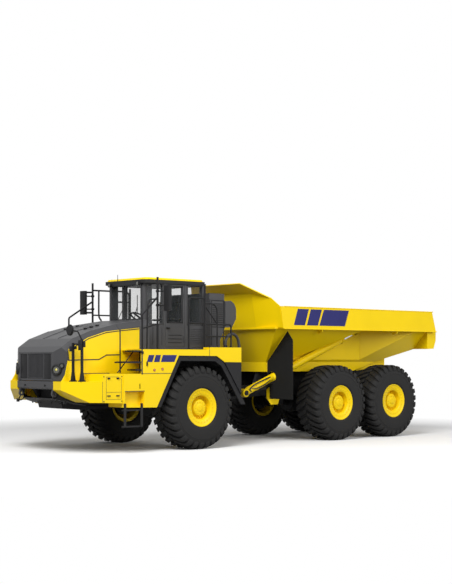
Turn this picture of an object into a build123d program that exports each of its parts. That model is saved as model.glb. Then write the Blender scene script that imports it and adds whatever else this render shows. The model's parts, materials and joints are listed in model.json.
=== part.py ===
"""Articulated dump truck, six-wheel drive, 35 tonne class.

X points forward, Y to the truck's left and Z up. The origin is on the ground under the middle of
the truck. The front unit carries the cab and engine. It steers by folding at the hitch, the rear
unit rolls about the hitch's swivel ring, and the bed tips about a hinge at the back of the frame.
"""
import os
from math import cos, hypot, radians

from build123d import *

os.makedirs("parts", exist_ok=True)

# ---------------------------------------------------------------- driving dimensions, millimetres
tyre_radius = 875
lug_depth = 58
lug_count = 30
rim_radius = 400
bead_radius = 350
wheel_y = 1310
spindle_radius = 110
running_gap = 0.1
axle_tube_radius = 130

front_axle_x = 2432
wheelbase = 4270
bogie_spacing = 1880
hitch_setback = 1350
hitch_z = 1100
centre_axle_x = front_axle_x - wheelbase
rear_axle_x = centre_axle_x - bogie_spacing
hitch_x = front_axle_x - hitch_setback
axle_z = tyre_radius

deck_y = 1600
deck_z = 2095
deck_plate = 25
arch_band = 110

frame_y = 430
frame_web = 90

cab_front_x = front_axle_x + 760
cab_rear_x = front_axle_x - 846
cab_front_half = 600
cab_rear_half = 720
cab_head_z = 3500
cab_top_z = 3545
cab_wall = 60
roof_top_z = 3628
door_width = 540
door_gap = 6

bed_hinge_x = rear_axle_x - 620
bed_hinge_z = 1830
rail_y = 1600
rail_low_z = 2576
rail_top_z = 3074
floor_z = 1600
bed_wall = 22
bed_front_x = front_axle_x - 2690
tail_x = front_axle_x - 7934

hoist_y = 920
hoist_low = (front_axle_x - 1843, 1133)
hoist_eye = (front_axle_x - 5458, 2515)
hoist_barrel_radius = 85
hoist_rod_radius = 48


# ---------------------------------------------------------------- planes and plates

def side(y):
    """Plane at height y on the left: local x is X, local y is Z, and it extrudes towards the right."""
    return Plane(origin=(0, y, 0), x_dir=(1, 0, 0), z_dir=(0, -1, 0))


def front(x):
    """Plane across the truck at x: local x is Y, local y is Z, and it extrudes forward."""
    return Plane(origin=(x, 0, 0), x_dir=(0, 1, 0), z_dir=(1, 0, 0))


def plate(corners, thickness):
    """A flat plate through coplanar corners, half its thickness on each side of them."""
    a, b, c = (Vector(*p) for p in corners[:3])
    plane = Plane(origin=a, x_dir=b - a, z_dir=(b - a).cross(c - a))
    flat = [plane.to_local_coords(Vector(*p)) for p in corners]
    sheet = plane * Polygon(*[(p.X, p.Y) for p in flat], align=None)
    return extrude(sheet, amount=thickness / 2, both=True)


def bar(points, radius):
    """A round bar along straight runs with bent corners."""
    path = FilletPolyline(*points, radius=3 * radius) if len(points) > 2 else Line(*points)
    start = path @ 0
    return sweep(Plane(origin=start, z_dir=path % 0) * Circle(radius), path=path)


def save(piece, name):
    """Label a finished sub-part and write its STEP file."""
    piece.part.label = name
    export_step(piece.part, f"parts/{name}.step")


# ---------------------------------------------------------------- wheels
# The carcass is a ruled loft of polygons with a corner under each lug, axial place and radius.
carcass_sections = [
    (-300, rim_radius),
    (-348, 590),
    (-328, 760),
    (-300, tyre_radius - lug_depth),
    (300, tyre_radius - lug_depth),
    (328, 760),
    (348, 590),
    (300, rim_radius),
]
lug_length = 102
lug_profile = [(-345, 765), (-298, tyre_radius), (298, tyre_radius), (345, 765), (250, 780), (-250, 780)]
bead_polygon = bead_radius / cos(radians(180 / lug_count))

with BuildPart() as carcass:
    for place, radius in carcass_sections:
        with BuildSketch(Plane.XY.offset(place)):
            RegularPolygon(radius, lug_count, rotation=-90)
    loft(ruled=True)
    with BuildSketch(Plane.XY.offset(carcass_sections[0][0])):
        RegularPolygon(bead_polygon, lug_count, rotation=-90)
    extrude(amount=2 * carcass_sections[-1][0], mode=Mode.SUBTRACT)
    with BuildSketch(Plane(origin=(0, 0, 0), x_dir=(0, 0, 1), z_dir=(1, 0, 0))):
        Polygon(*[(s, -r) for s, r in lug_profile], align=None)
    lug = extrude(amount=lug_length / 2, both=True, mode=Mode.PRIVATE)
    for turn in range(lug_count):
        add(lug.rotate(Axis.Z, 360 * turn / lug_count))

# Rim section, axial place from the wheel's middle plane (outwards) and radius.
rim_face = 322
rim_section = [
    (-300, bead_radius - 18),
    (-300, bead_radius),
    (302, bead_radius),
    (302, rim_radius),
    (rim_face, rim_radius),
    (rim_face, rim_radius - 22),
    (rim_face - 22, 268),
    (rim_face - 118, 252),
    (rim_face - 118, 205),
    (rim_face - 40, 196),
    (rim_face - 28, 182),
    (rim_face - 28, 0),
    (rim_face - 70, 0),
    (rim_face - 70, spindle_radius + running_gap),
    (120, spindle_radius + running_gap),
    (120, 190),
    (rim_face - 136, 190),
    (rim_face - 136, bead_radius - 18),
]
with BuildPart() as rim:
    with BuildSketch(Plane.XZ):
        with BuildLine():
            Polyline(*[(r, s) for s, r in rim_section], close=True)
        make_face()
    revolve(axis=Axis.Z)

wheel_stations = [
    # name, x
    ("front", front_axle_x),
    ("centre", centre_axle_x),
    ("rear", rear_axle_x),
]
for name, x in wheel_stations:
    for hand, way in (("left", 1), ("right", -1)):
        hub = Plane(origin=(x, way * wheel_y, axle_z), x_dir=(way, 0, 0), z_dir=(0, way, 0))
        with BuildPart() as tyre:
            add(hub.location * carcass.part)
        save(tyre, f"tyre_{name}_{hand}")
        with BuildPart() as wheel:
            add(hub.location * rim.part)
        save(wheel, f"rim_{name}_{hand}")

# ---------------------------------------------------------------- axles
spindle_end = wheel_y + rim_face - 72
brake_end = wheel_y + 118


def axle_at(x, nose):
    """Tube, brake housings, spindles and final drive bulge of one axle; nose is the drive flange's way."""
    with BuildPart() as axle:
        with BuildSketch(Plane(origin=(x, 0, axle_z), x_dir=(1, 0, 0), z_dir=(0, 1, 0))):
            Circle(axle_tube_radius)
        extrude(amount=brake_end - 60, both=True)
        with BuildSketch(Plane(origin=(x, brake_end - 330, axle_z), x_dir=(1, 0, 0), z_dir=(0, 1, 0))):
            Circle(235)
        extrude(amount=330)
        with BuildSketch(Plane(origin=(x, brake_end, axle_z), x_dir=(1, 0, 0), z_dir=(0, 1, 0))):
            Circle(spindle_radius)
        extrude(amount=spindle_end - brake_end)
        mirror(about=Plane.XZ)
        with BuildSketch(front(x)):
            with Locations((0, axle_z)):
                Circle(270)
        extrude(amount=190, both=True, taper=12)
        with BuildSketch(front(x)):
            with Locations((0, axle_z)):
                Circle(95)
        extrude(amount=nose * 380)
    return axle


strut_y = 540
strut_radius = 65
strut_top_z = 1330
with BuildPart() as front_axle:
    add(axle_at(front_axle_x, -1).part)
    with BuildSketch(Plane.XY.offset(axle_z)):
        with Locations((front_axle_x, strut_y), (front_axle_x, -strut_y)):
            Circle(strut_radius)
    extrude(amount=strut_top_z - axle_z)
save(front_axle, "front_axle")
save(axle_at(centre_axle_x, 1), "centre_axle")
save(axle_at(rear_axle_x, 1), "rear_axle")

# ---------------------------------------------------------------- front frame
frame_low_z = 1060
frame_top_z = 1400
nose_x = front_axle_x + 2740
bumper_x = front_axle_x + 3070
hitch_lug_x = hitch_x + 190
lug_plate = 60
lug_spread = 190
hitch_pin_radius = 60
# Outriggers that carry the decks: place along the truck and reach from its middle.
outriggers = [
    (front_axle_x + 1070, deck_y - 80),
    (front_axle_x - 900, deck_y - 200),
]
steer_base = (hitch_x + 700, 520)
steer_ear = (hitch_x - 120, 300)
steer_fork = 65
steer_pin_radius = 25

# Side outline of a frame rail: the belly pan under the nose, then up over the front axle.
frame_outline = [
    (nose_x, 1300),
    (nose_x, 1048),
    (nose_x - 50, 893),
    (nose_x - 490, 855),
    (front_axle_x + 900, 870),
    (front_axle_x + 520, frame_low_z),
    (front_axle_x - 450, frame_low_z),
    (front_axle_x - 640, 940),
    (hitch_lug_x, 860),
    (hitch_lug_x, frame_top_z),
    (front_axle_x + 1900, frame_top_z),
]
with BuildPart() as front_frame:
    with BuildSketch(side(frame_y)):
        Polygon(*frame_outline, align=None)
    extrude(amount=frame_web)
    # side brackets: steering cylinder feet, strut tops and the beams that carry the tool boxes
    with BuildSketch(Plane.XY.offset(strut_top_z)):
        with Locations((front_axle_x, (frame_y + strut_y + 90) / 2)):
            Rectangle(230, strut_y + 90 - frame_y)
    extrude(amount=frame_top_z - strut_top_z)
    for z in (hitch_z - steer_fork - 40, hitch_z + steer_fork):
        with BuildSketch(Plane.XY.offset(z)):
            with Locations((steer_base[0], (frame_y + steer_base[1] + 70) / 2)):
                Rectangle(150, steer_base[1] + 70 - frame_y)
        extrude(amount=40)
    with BuildSketch(Plane.XY.offset(hitch_z - steer_fork)):
        with Locations(steer_base):
            Circle(steer_pin_radius)
    extrude(amount=2 * steer_fork)
    with BuildSketch(side(1000)):
        with Locations((front_axle_x + 2300, 1240)):
            Rectangle(160, 140)
    extrude(amount=1000 - frame_y)
    # outriggers under the deck, with the cross-beams under the cab floor
    for x, reach in outriggers:
        with BuildSketch(front(x - 35)):
            Polygon(
                (frame_y - frame_web, frame_top_z - 60),
                (frame_y, frame_top_z - 60),
                (frame_y + 60, 1780),
                (reach, deck_z - 150),
                (reach, deck_z - deck_plate),
                (0, deck_z - deck_plate),
                (0, deck_z - 110),
                (frame_y - frame_web, deck_z - 110),
                align=None,
            )
        extrude(amount=70)
    mirror(about=Plane.XZ)
    # belly pan and cross-members
    with BuildSketch(side(frame_y)):
        Polygon(
            (nose_x, 1048),
            (nose_x - 50, 893),
            (nose_x - 490, 855),
            (front_axle_x + 900, 870),
            (front_axle_x + 900, 895),
            (nose_x - 490, 880),
            (nose_x - 66, 916),
            (nose_x - 25, 1048),
            align=None,
        )
    extrude(amount=2 * frame_y)
    for x in (nose_x - 60, front_axle_x + 1500, front_axle_x - 500):
        with BuildSketch(front(x - 40)):
            with Locations((0, 1200)):
                Rectangle(2 * frame_y, 180)
        extrude(amount=80)
    with BuildSketch(front(hitch_x + 330)):
        with Locations((0, hitch_z)):
            Rectangle(2 * frame_y, 2 * lug_spread + lug_plate)
    extrude(amount=80)
    # openings that let the steering cylinders swing through the rails
    for way in (1, -1):
        with BuildSketch(side(way * 450 + 155)):
            with Locations(((hitch_x + steer_base[0] - 80) / 2, hitch_z)):
                Rectangle(steer_base[0] - 80 - hitch_x, 150)
            with Locations((steer_base[0] - 70, hitch_z)):
                Rectangle(60, 2 * steer_fork - 2)
        extrude(amount=310, mode=Mode.SUBTRACT)
    with BuildSketch(Plane.XY.offset(deck_z - deck_plate)):
        with Locations(((cab_front_x + front_axle_x - 1147) / 2 + 40, 0)):
            Rectangle(cab_front_x - front_axle_x + 1147 + 80, 2 * 760)
    extrude(amount=deck_plate)
    # hitch lugs with their pin bores
    for z in (hitch_z - lug_spread, hitch_z + lug_spread):
        with BuildSketch(Plane.XY.offset(z - lug_plate / 2)):
            with BuildLine():
                Polyline((hitch_x, 130), (hitch_x + 335, 380), (hitch_x + 335, -380), (hitch_x, -130))
                ThreePointArc((hitch_x, -130), (hitch_x - 130, 0), (hitch_x, 130))
            make_face()
            with Locations((hitch_x, 0)):
                Circle(hitch_pin_radius + running_gap, mode=Mode.SUBTRACT)
        extrude(amount=lug_plate)
save(front_frame, "front_frame")

# ---------------------------------------------------------------- engine under the hood
engine_low_z = 1290
with BuildPart() as engine_block:
    with BuildSketch(Plane.XY.offset(engine_low_z)):
        with Locations((front_axle_x + 1800, 0)):
            Rectangle(1300, 620)
    extrude(amount=1990 - engine_low_z)
save(engine_block, "engine_block")

# ---------------------------------------------------------------- bumper and tow eyes
bumper_half = 660
bumper_depth = 210
bumper_low_z = 1290
bumper_top_z = 1450
tow_eye = (bumper_x - 62, 600, 1200)
tow_hole_radius = 28
mask_x = front_axle_x + 3055
hood_pivot = (mask_x - 10, 1475)
hood_pin_radius = 10
knuckle_radius = 20
hood_knuckle = (572, 600)
bumper_knuckle = (604, 632)
with BuildPart() as bumper:
    with BuildSketch(Plane.XY.offset(bumper_low_z)):
        with Locations((bumper_x - bumper_depth / 2, 0)):
            Rectangle(bumper_depth, 2 * bumper_half)
    extrude(amount=bumper_top_z - bumper_low_z)
    chamfer(bumper.edges().filter_by(Axis.Y).sort_by(Axis.X)[-2:].sort_by(Axis.Z)[0], 30)
    with BuildSketch(side(frame_y)):
        Polygon((nose_x, 1100), (bumper_x - bumper_depth, bumper_low_z), (bumper_x - bumper_depth, 1440),
                (nose_x, 1290), align=None)
    extrude(amount=frame_web)
    with BuildSketch(side(tow_eye[1] + 20)):
        with BuildLine():
            Polyline((tow_eye[0] - 62, bumper_low_z), (tow_eye[0] - 62, tow_eye[2]))
            ThreePointArc((tow_eye[0] - 62, tow_eye[2]), (tow_eye[0], tow_eye[2] - 62),
                          (tow_eye[0] + 62, tow_eye[2]))
            Polyline((tow_eye[0] + 62, tow_eye[2]), (tow_eye[0] + 30, bumper_low_z + 30),
                     (tow_eye[0] - 62, bumper_low_z + 30), (tow_eye[0] - 62, bumper_low_z))
        make_face()
        with Locations((tow_eye[0], tow_eye[2])):
            Circle(tow_hole_radius, mode=Mode.SUBTRACT)
    extrude(amount=40)
    # knuckle and pin that the hood turns on
    with BuildSketch(side(bumper_knuckle[1])):
        with Locations(hood_pivot):
            Circle(knuckle_radius)
        with Locations((hood_pivot[0], (hood_pivot[1] + bumper_top_z) / 2)):
            Rectangle(2 * knuckle_radius, hood_pivot[1] - bumper_top_z)
    extrude(amount=bumper_knuckle[1] - bumper_knuckle[0])
    with BuildSketch(side(bumper_knuckle[1])):
        with Locations(hood_pivot):
            Circle(hood_pin_radius)
    extrude(amount=bumper_knuckle[1] - hood_knuckle[0])
    mirror(about=Plane.XZ)
save(bumper, "bumper")

# ---------------------------------------------------------------- yellow corners beside the bumper
box_front_x = front_axle_x + 2530
box_rear_x = front_axle_x + 2030
with BuildPart() as nose_corners:
    with BuildSketch(Plane.XY.offset(1035)):
        Polygon(
            (bumper_x, bumper_half),
            (bumper_x, 930),
            (box_front_x, 1580),
            (box_front_x, 1150),
            (bumper_x - bumper_depth, bumper_half),
            align=None,
        )
    extrude(amount=bumper_top_z - 1035)
    with BuildSketch(side(deck_y)):
        Polygon(
            (bumper_x, 1280),
            (bumper_x, bumper_top_z),
            (box_front_x, bumper_top_z),
            (box_front_x, 1035),
            (box_front_x + 170, 1035),
            align=None,
        )
    extrude(amount=deck_y, mode=Mode.INTERSECT)
    mirror(about=Plane.XZ)
save(nose_corners, "nose_corners")

with BuildPart() as tool_boxes:
    with BuildSketch(side(deck_y - 20)):
        Polygon(
            (box_front_x, 1035),
            (box_front_x, bumper_top_z),
            (box_front_x - 35, 1600),
            (box_rear_x, 1600),
            (box_rear_x, 1015),
            align=None,
        )
    extrude(amount=deck_y - 20 - 1000)
    mirror(about=Plane.XZ)
save(tool_boxes, "tool_boxes")

# ---------------------------------------------------------------- hood that tilts about its nose
hood_half = 905
panel_skin = 28
hood_rear_x = front_axle_x + 1620
cowl_rear_x = front_axle_x + 830
hood_gap = 8
# Plan of the mask's corners: half width of its flat front, and where its sides begin.
mask_half = 640
mask_corner_x = front_axle_x + 2910
# Crest of the hood and cowl from the mask back, X and Z.
crest = [
    (mask_x, 1460),
    (mask_x, 2040),
    (mask_x - 110, 2150),
    (front_axle_x + 2707, 2310),
    (front_axle_x + 2210, 2480),
    (front_axle_x + 1700, 2601),
    (cowl_rear_x, 2730),
]
# Upper edge of the yellow side panels.
shoulder = [
    (front_axle_x + 2876, 2096),
    (front_axle_x + 2397, 2330),
    (front_axle_x + 1974, 2455),
    (front_axle_x + 1120, 2545),
]
# Seam between the tilting panel and the fixed one, front to back.
seam = [
    (front_axle_x + 2890, 1870),
    (front_axle_x + 2150, 1885),
    (front_axle_x + 1960, 1975),
    (hood_rear_x, 1980),
]
grille_half = 568
grille_low_z = 1490
grille_top_z = 2010
crest_inside = [
    (mask_x - panel_skin - 10, 1400),
    (mask_x - panel_skin - 10, 2025),
    (mask_x - 130, 2110),
    (front_axle_x + 2690, 2275),
    (front_axle_x + 2200, 2445),
    (front_axle_x + 1690, 2566),
    (cowl_rear_x - 10, 2692),
]
crest_bevel = 110


def bevel_crest(part, half):
    """Bevel the long upper edges of a hood shape that is half wide on each side."""
    upper = part.edges().filter_by(lambda e: abs(e.center().Y) > half - 1 and e.center().Z > 2200)
    chamfer(upper.filter_by(lambda e: abs(e.tangent_at(0.5).X) > 0.5), crest_bevel)


def mask_plan(inset):
    """Plan of the hood and cowl with the mask's slanted corners, drawn in by a wall."""
    front_x = mask_x - inset
    half = hood_half - inset
    return Polygon(
        (front_x, mask_half - inset / 2),
        (mask_corner_x - inset / 2, half),
        (cowl_rear_x - inset, half),
        (cowl_rear_x - inset, -half),
        (mask_corner_x - inset / 2, -half),
        (front_x, -mask_half + inset / 2),
        align=None,
    )


with BuildPart() as hood_cavity:
    with BuildSketch(side(hood_half - panel_skin)):
        Polygon(*crest_inside, (cowl_rear_x - 10, 1400), align=None)
    extrude(amount=2 * (hood_half - panel_skin))
    bevel_crest(hood_cavity, hood_half - panel_skin)
    with BuildSketch(Plane.XY.offset(1400)):
        mask_plan(panel_skin + 10)
    extrude(amount=1500, mode=Mode.INTERSECT)

with BuildPart() as hood_block:
    with BuildSketch(side(hood_half)):
        Polygon(*crest, (cowl_rear_x, 2100), (hood_rear_x, 2030), (mask_x - 170, 1875), (mask_x - 170, 1460),
                align=None)
    extrude(amount=2 * hood_half)
    bevel_crest(hood_block, hood_half)
    with BuildSketch(Plane.XY.offset(1400)):
        mask_plan(0)
    extrude(amount=1500, mode=Mode.INTERSECT)
    add(hood_cavity.part, mode=Mode.SUBTRACT)

with BuildPart() as hood:
    add(hood_block.part)
    split(bisect_by=front(hood_rear_x + hood_gap / 2), keep=Keep.TOP)
    with BuildSketch(front(mask_x - 150)):
        with Locations((0, (grille_low_z + grille_top_z) / 2)):
            Rectangle(2 * grille_half, grille_top_z - grille_low_z)
    extrude(amount=200, mode=Mode.SUBTRACT)
    for way in (1, -1):
        # notch over the bumper's knuckle, and the knuckle that turns on its pin
        middle = way * (bumper_knuckle[0] + bumper_knuckle[1]) / 2
        with BuildSketch(side(middle + 19)):
            with Locations((mask_x, 1470)):
                Rectangle(160, 70)
        extrude(amount=38, mode=Mode.SUBTRACT)
        middle = way * (hood_knuckle[0] + hood_knuckle[1]) / 2
        with BuildSketch(side(middle + 14)):
            with Locations(hood_pivot):
                Circle(knuckle_radius)
        extrude(amount=28)
        with BuildSketch(side(middle + 14)):
            with Locations(hood_pivot):
                Circle(hood_pin_radius + running_gap)
        extrude(amount=28, mode=Mode.SUBTRACT)
save(hood, "hood")

with BuildPart() as cowl:
    add(hood_block.part)
    split(bisect_by=front(hood_rear_x - hood_gap / 2), keep=Keep.BOTTOM)
save(cowl, "cowl")

panel_y = hood_half + 30
with BuildPart() as hood_panels:
    with BuildSketch(side(panel_y)):
        Polygon(
            *shoulder[:3],
            (hood_rear_x + hood_gap / 2, 2496),
            (hood_rear_x + hood_gap / 2, seam[3][1] + hood_gap),
            (seam[2][0], seam[2][1] + hood_gap),
            (seam[1][0], seam[1][1] + hood_gap),
            (seam[0][0] - 40, seam[0][1] + hood_gap),
            align=None,
        )
    extrude(amount=panel_y - hood_half)
    mirror(about=Plane.XZ)
save(hood_panels, "hood_panels")

with BuildPart() as engine_panels:
    with BuildSketch(side(panel_y)):
        Polygon(
            seam[0],
            (front_axle_x + 2960, 1580),
            (front_axle_x + 3050, bumper_top_z),
            (box_front_x, bumper_top_z),
            (front_axle_x + 1120, bumper_top_z),
            shoulder[3],
            (hood_rear_x - hood_gap / 2, 2496),
            (hood_rear_x - hood_gap / 2, seam[3][1]),
            seam[2],
            seam[1],
            align=None,
        )
    extrude(amount=panel_y - hood_half)
    with BuildSketch(side(hood_half)):
        Polygon(
            (front_axle_x + 2880, bumper_top_z + 2),
            (front_axle_x + 2880, 1850),
            (front_axle_x + 2180, 1860),
            (hood_rear_x + 20, 1950),
            (hood_rear_x - 60, 1400),
            (box_front_x, 1400),
            (box_front_x, bumper_top_z + 2),
            align=None,
        )
    extrude(amount=20)
    with BuildSketch(side(hood_half)):
        with Locations((front_axle_x + 1700, 1380), (front_axle_x + 2600, 1350)):
            Rectangle(120, 100)
    extrude(amount=hood_half - frame_y)
    mirror(about=Plane.XZ)
save(engine_panels, "engine_panels")

grille_bar_pitch = 44
grille_bar = 14
with BuildPart() as grille:
    middle_z = (grille_low_z + grille_top_z) / 2
    height = grille_top_z - grille_low_z
    with BuildSketch(front(mask_x - 70)):
        with Locations((0, middle_z)):
            Rectangle(2 * grille_half, height)
            Rectangle(2 * grille_half - 70, height - 70, mode=Mode.SUBTRACT)
    extrude(amount=55)
    with BuildSketch(front(mask_x - 60)):
        with Locations((0, middle_z)):
            with GridLocations(grille_bar_pitch, 0, int((2 * grille_half - 80) / grille_bar_pitch), 1):
                Rectangle(grille_bar, height - 40)
    extrude(amount=30)
save(grille, "grille")

# Lamps in the mask's slanted corners: place across, height, radius and depth.
lamp_table = [
    (710, 1683, 68, 26),
    (812, 1765, 34, 18),
]
corner_run = Vector(mask_corner_x - mask_x, hood_half - mask_half, 0).normalized()
with BuildPart() as headlamps:
    for y, z, radius, depth in lamp_table:
        x = mask_x - (y - mask_half) / (hood_half - mask_half) * (mask_x - mask_corner_x)
        facing = Plane(origin=(x, y, z), x_dir=corner_run, z_dir=(corner_run.Y, -corner_run.X, 0))
        with BuildSketch(facing):
            Circle(radius)
        extrude(amount=depth)
    mirror(about=Plane.XZ)
save(headlamps, "headlamps")

# ---------------------------------------------------------------- marker posts on the corners
# Posts: place, width of the foot and height of the top.
post_table = [
    (front_axle_x + 2860, 1050, 2215),
    (front_axle_x + 2760, 1210, 2290),
]
post_neck_z = bumper_top_z + 200
post_brace = bar([(front_axle_x + 2860, 1050, 2190), (front_axle_x + 2760, 1210, 2190)], 17)
mirror_arm = bar([(front_axle_x + 2760, 1210, 2275), (front_axle_x + 2850, 1200, 2440),
                  (front_axle_x + 3000, 1160, 2466)], 14)
with BuildPart() as nose_posts:
    for x, y, top in post_table:
        with BuildSketch(Plane.XY.offset(bumper_top_z)):
            with Locations((x, y)):
                Rectangle(95, 60)
        with BuildSketch(Plane.XY.offset(post_neck_z)):
            with Locations((x, y)):
                Rectangle(42, 42)
        loft()
        with BuildSketch(Plane.XY.offset(post_neck_z)):
            with Locations((x, y)):
                Rectangle(42, 42)
        extrude(amount=top - post_neck_z)
    add(post_brace)
    add(mirror_arm)
    with BuildSketch(Plane(origin=(front_axle_x + 2998, 1160, 2466), x_dir=(0, 1, 0), z_dir=(1, 0, 0))):
        Circle(104)
    extrude(amount=40, taper=18)
save(nose_posts, "nose_posts")

# ---------------------------------------------------------------- decks and fenders
arch = [
    (front_axle_x + 1184, 912),
    (front_axle_x + 600, 1969),
    (front_axle_x - 442, 1960),
    (front_axle_x - 667, 1833),
    (front_axle_x - 1109, 1184),
]
deck_front_x = front_axle_x + 1580
deck_rear_x = front_axle_x - 1147
arch_mid_x = front_axle_x + 804
kick_depth = 120
with BuildPart() as deck_left:
    # outer skirt over the wheel and the closed box ahead of it
    with BuildSketch(side(deck_y)):
        Polygon(
            (deck_front_x, 1600),
            (deck_front_x, deck_z),
            (deck_rear_x, deck_z),
            (deck_rear_x, 1824),
            arch[3],
            arch[2],
            arch[1],
            (arch_mid_x, 1600),
            align=None,
        )
    extrude(amount=deck_plate)
    with BuildSketch(side(deck_y)):
        Polygon((box_rear_x, 930), (box_rear_x, 1600), (arch_mid_x, 1600), arch[0], align=None)
    extrude(amount=500)
    with BuildSketch(side(deck_y)):
        with Locations((front_axle_x + 1750, 1100)):
            Rectangle(480, 300)
    extrude(amount=kick_depth, mode=Mode.SUBTRACT)
    with BuildSketch(Plane.XY.offset(deck_z - deck_plate)):
        with Locations(((deck_front_x + deck_rear_x) / 2, (deck_y + 760) / 2)):
            Rectangle(deck_front_x - deck_rear_x, deck_y - 760)
    extrude(amount=deck_plate)
    with BuildSketch(Plane.XY.offset(deck_z - deck_plate)):
        Polygon(
            (cowl_rear_x - 5, 700),
            (cowl_rear_x - 5, hood_half + 2),
            (front_axle_x + 1115, hood_half + 2),
            (front_axle_x + 1115, panel_y + 2),
            (deck_front_x + 10, panel_y + 2),
            (deck_front_x + 10, 700),
            align=None,
        )
    extrude(amount=deck_plate, mode=Mode.SUBTRACT)
    # raised rear block
    with BuildSketch(side(deck_y)):
        Polygon(
            (front_axle_x - 235, deck_z),
            (front_axle_x - 235, 2143),
            (deck_rear_x, 2143),
            (deck_rear_x, 1824),
            arch[3],
            arch[2],
            (front_axle_x - 235, 1962),
            align=None,
        )
    extrude(amount=200)
save(deck_left, "deck_left")
with BuildPart() as deck_right:
    add(mirror(deck_left.part, about=Plane.XZ))
save(deck_right, "deck_right")

with BuildPart() as arch_flares:
    with BuildSketch(side(deck_y - deck_plate)):
        Polygon(
            (arch[0][0] + 221, 512),
            *arch,
            (arch[4][0] - 272, 784),
            (arch[4][0] - 272, 512),
            align=None,
        )
        offset(amount=-arch_band, mode=Mode.SUBTRACT)
        with Locations((front_axle_x, 456)):
            Rectangle(4000, 2 * 456, mode=Mode.SUBTRACT)
    extrude(amount=40)
    with BuildSketch(side(deck_y)):
        Polygon((front_axle_x - 673, 1824), (deck_rear_x, 1824), (deck_rear_x, 1128), align=None)
    extrude(amount=60)
    mirror(about=Plane.XZ)
save(arch_flares, "arch_flares")

# ---------------------------------------------------------------- ladders and steps
ladder_x = (front_axle_x + 1580, front_axle_x + 2000)
# Treads of the stair beside the hood: height of the top and reach forward of the deck.
stair_treads = [
    (deck_z - 25, 190),
    (1845, 450),
    (1690, 130),
]
with BuildPart() as ladders:
    for z, reach in stair_treads:
        with BuildSketch(Plane.XY.offset(z - 30)):
            with Locations((deck_front_x + reach / 2, deck_y - 155)):
                Rectangle(reach, 300)
        extrude(amount=30)
    mirror(about=Plane.XZ)
    # hanging ladder, on the left only
    for x in ladder_x:
        with BuildSketch(side(deck_y + 14)):
            with Locations((x, 773)):
                Rectangle(56, 474)
        extrude(amount=14)
    for z in (545, 874):
        with BuildSketch(Plane.XY.offset(z - 15)):
            with Locations(((ladder_x[0] + ladder_x[1]) / 2, deck_y - 35)):
                Rectangle(ladder_x[1] - ladder_x[0] + 56, 70)
        extrude(amount=30)
save(ladders, "ladders")

# ---------------------------------------------------------------- cab
cab_floor_z = deck_z + 80
window_low_z = 2640
pane = 10
cab_taper_x = front_axle_x + 300
door_rear_x = front_axle_x - 280
door_front_x = door_rear_x + door_width
door_low_z = deck_z + 60
hinge_radius = 16
hinge_heights = (2320, 3260)
cab_plan = [
    (cab_front_x, -cab_front_half),
    (cab_front_x, cab_front_half),
    (cab_taper_x, cab_rear_half),
    (cab_rear_x, cab_rear_half),
    (cab_rear_x, -cab_rear_half),
    (cab_taper_x, -cab_rear_half),
]
# Side windows: rear edge, front edge, which sides have one.
side_windows = [
    (front_axle_x - 785, front_axle_x - 360, (1, -1)),
    (door_rear_x + 45, door_front_x - 45, (-1,)),
    (door_front_x + 60, cab_front_x - 70, (1, -1)),
]
with BuildPart() as window_holes:
    for rear_x, fore_x, ways in side_windows:
        for way in ways:
            with BuildSketch(side(way * cab_rear_half + 120)):
                with Locations(((rear_x + fore_x) / 2, (window_low_z + cab_head_z) / 2)):
                    RectangleRounded(fore_x - rear_x, cab_head_z - window_low_z, 40)
            extrude(amount=240)
    for x, half, low in ((cab_front_x - 100, cab_front_half - 75, window_low_z + 80),
                         (cab_rear_x - 100, cab_rear_half - 100, window_low_z + 80)):
        with BuildSketch(front(x)):
            with Locations((0, (low + cab_head_z) / 2)):
                RectangleRounded(2 * half, cab_head_z - low, 40)
        extrude(amount=200)

with BuildPart() as cab_shell:
    with BuildSketch(Plane.XY.offset(deck_z)):
        Polygon(*cab_plan, align=None)
    extrude(amount=cab_top_z - deck_z)
    with BuildSketch(Plane.XY.offset(cab_floor_z)):
        Polygon(*cab_plan, align=None)
        offset(amount=-cab_wall, kind=Kind.INTERSECTION, mode=Mode.REPLACE)
    extrude(amount=cab_top_z - 50 - cab_floor_z, mode=Mode.SUBTRACT)
    add(window_holes.part, mode=Mode.SUBTRACT)
    with BuildSketch(side(cab_rear_half + 10)):
        with Locations(((door_rear_x + door_front_x) / 2, (door_low_z + cab_head_z) / 2)):
            Rectangle(door_width, cab_head_z - door_low_z)
    extrude(amount=cab_wall + 20, mode=Mode.SUBTRACT)
    # fixed halves of the door hinges, above and below each door barrel
    for z in hinge_heights:
        for low in (z - 62, z + 31.3):
            with BuildSketch(Plane.XY.offset(low)):
                with Locations((door_rear_x + door_gap, cab_rear_half + 6)):
                    Circle(hinge_radius)
            extrude(amount=30.7)
        with BuildSketch(Plane.XY.offset(z - 31)):
            with Locations((door_rear_x + door_gap, cab_rear_half + 6)):
                Circle(hinge_radius + 3)
        extrude(amount=62, mode=Mode.SUBTRACT)
save(cab_shell, "cab_shell")

with BuildPart() as cab_glass:
    with BuildSketch(Plane.XY.offset(window_low_z - 50)):
        Polygon(*cab_plan, align=None)
        offset(amount=-22, kind=Kind.INTERSECTION, mode=Mode.REPLACE)
    extrude(amount=cab_top_z - window_low_z)
    with BuildSketch(Plane.XY.offset(window_low_z - 60)):
        Polygon(*cab_plan, align=None)
        offset(amount=-22 - pane, kind=Kind.INTERSECTION, mode=Mode.REPLACE)
    extrude(amount=cab_top_z - window_low_z + 20, mode=Mode.SUBTRACT)
    add(window_holes.part, mode=Mode.INTERSECT)
save(cab_glass, "cab_glass")

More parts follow.
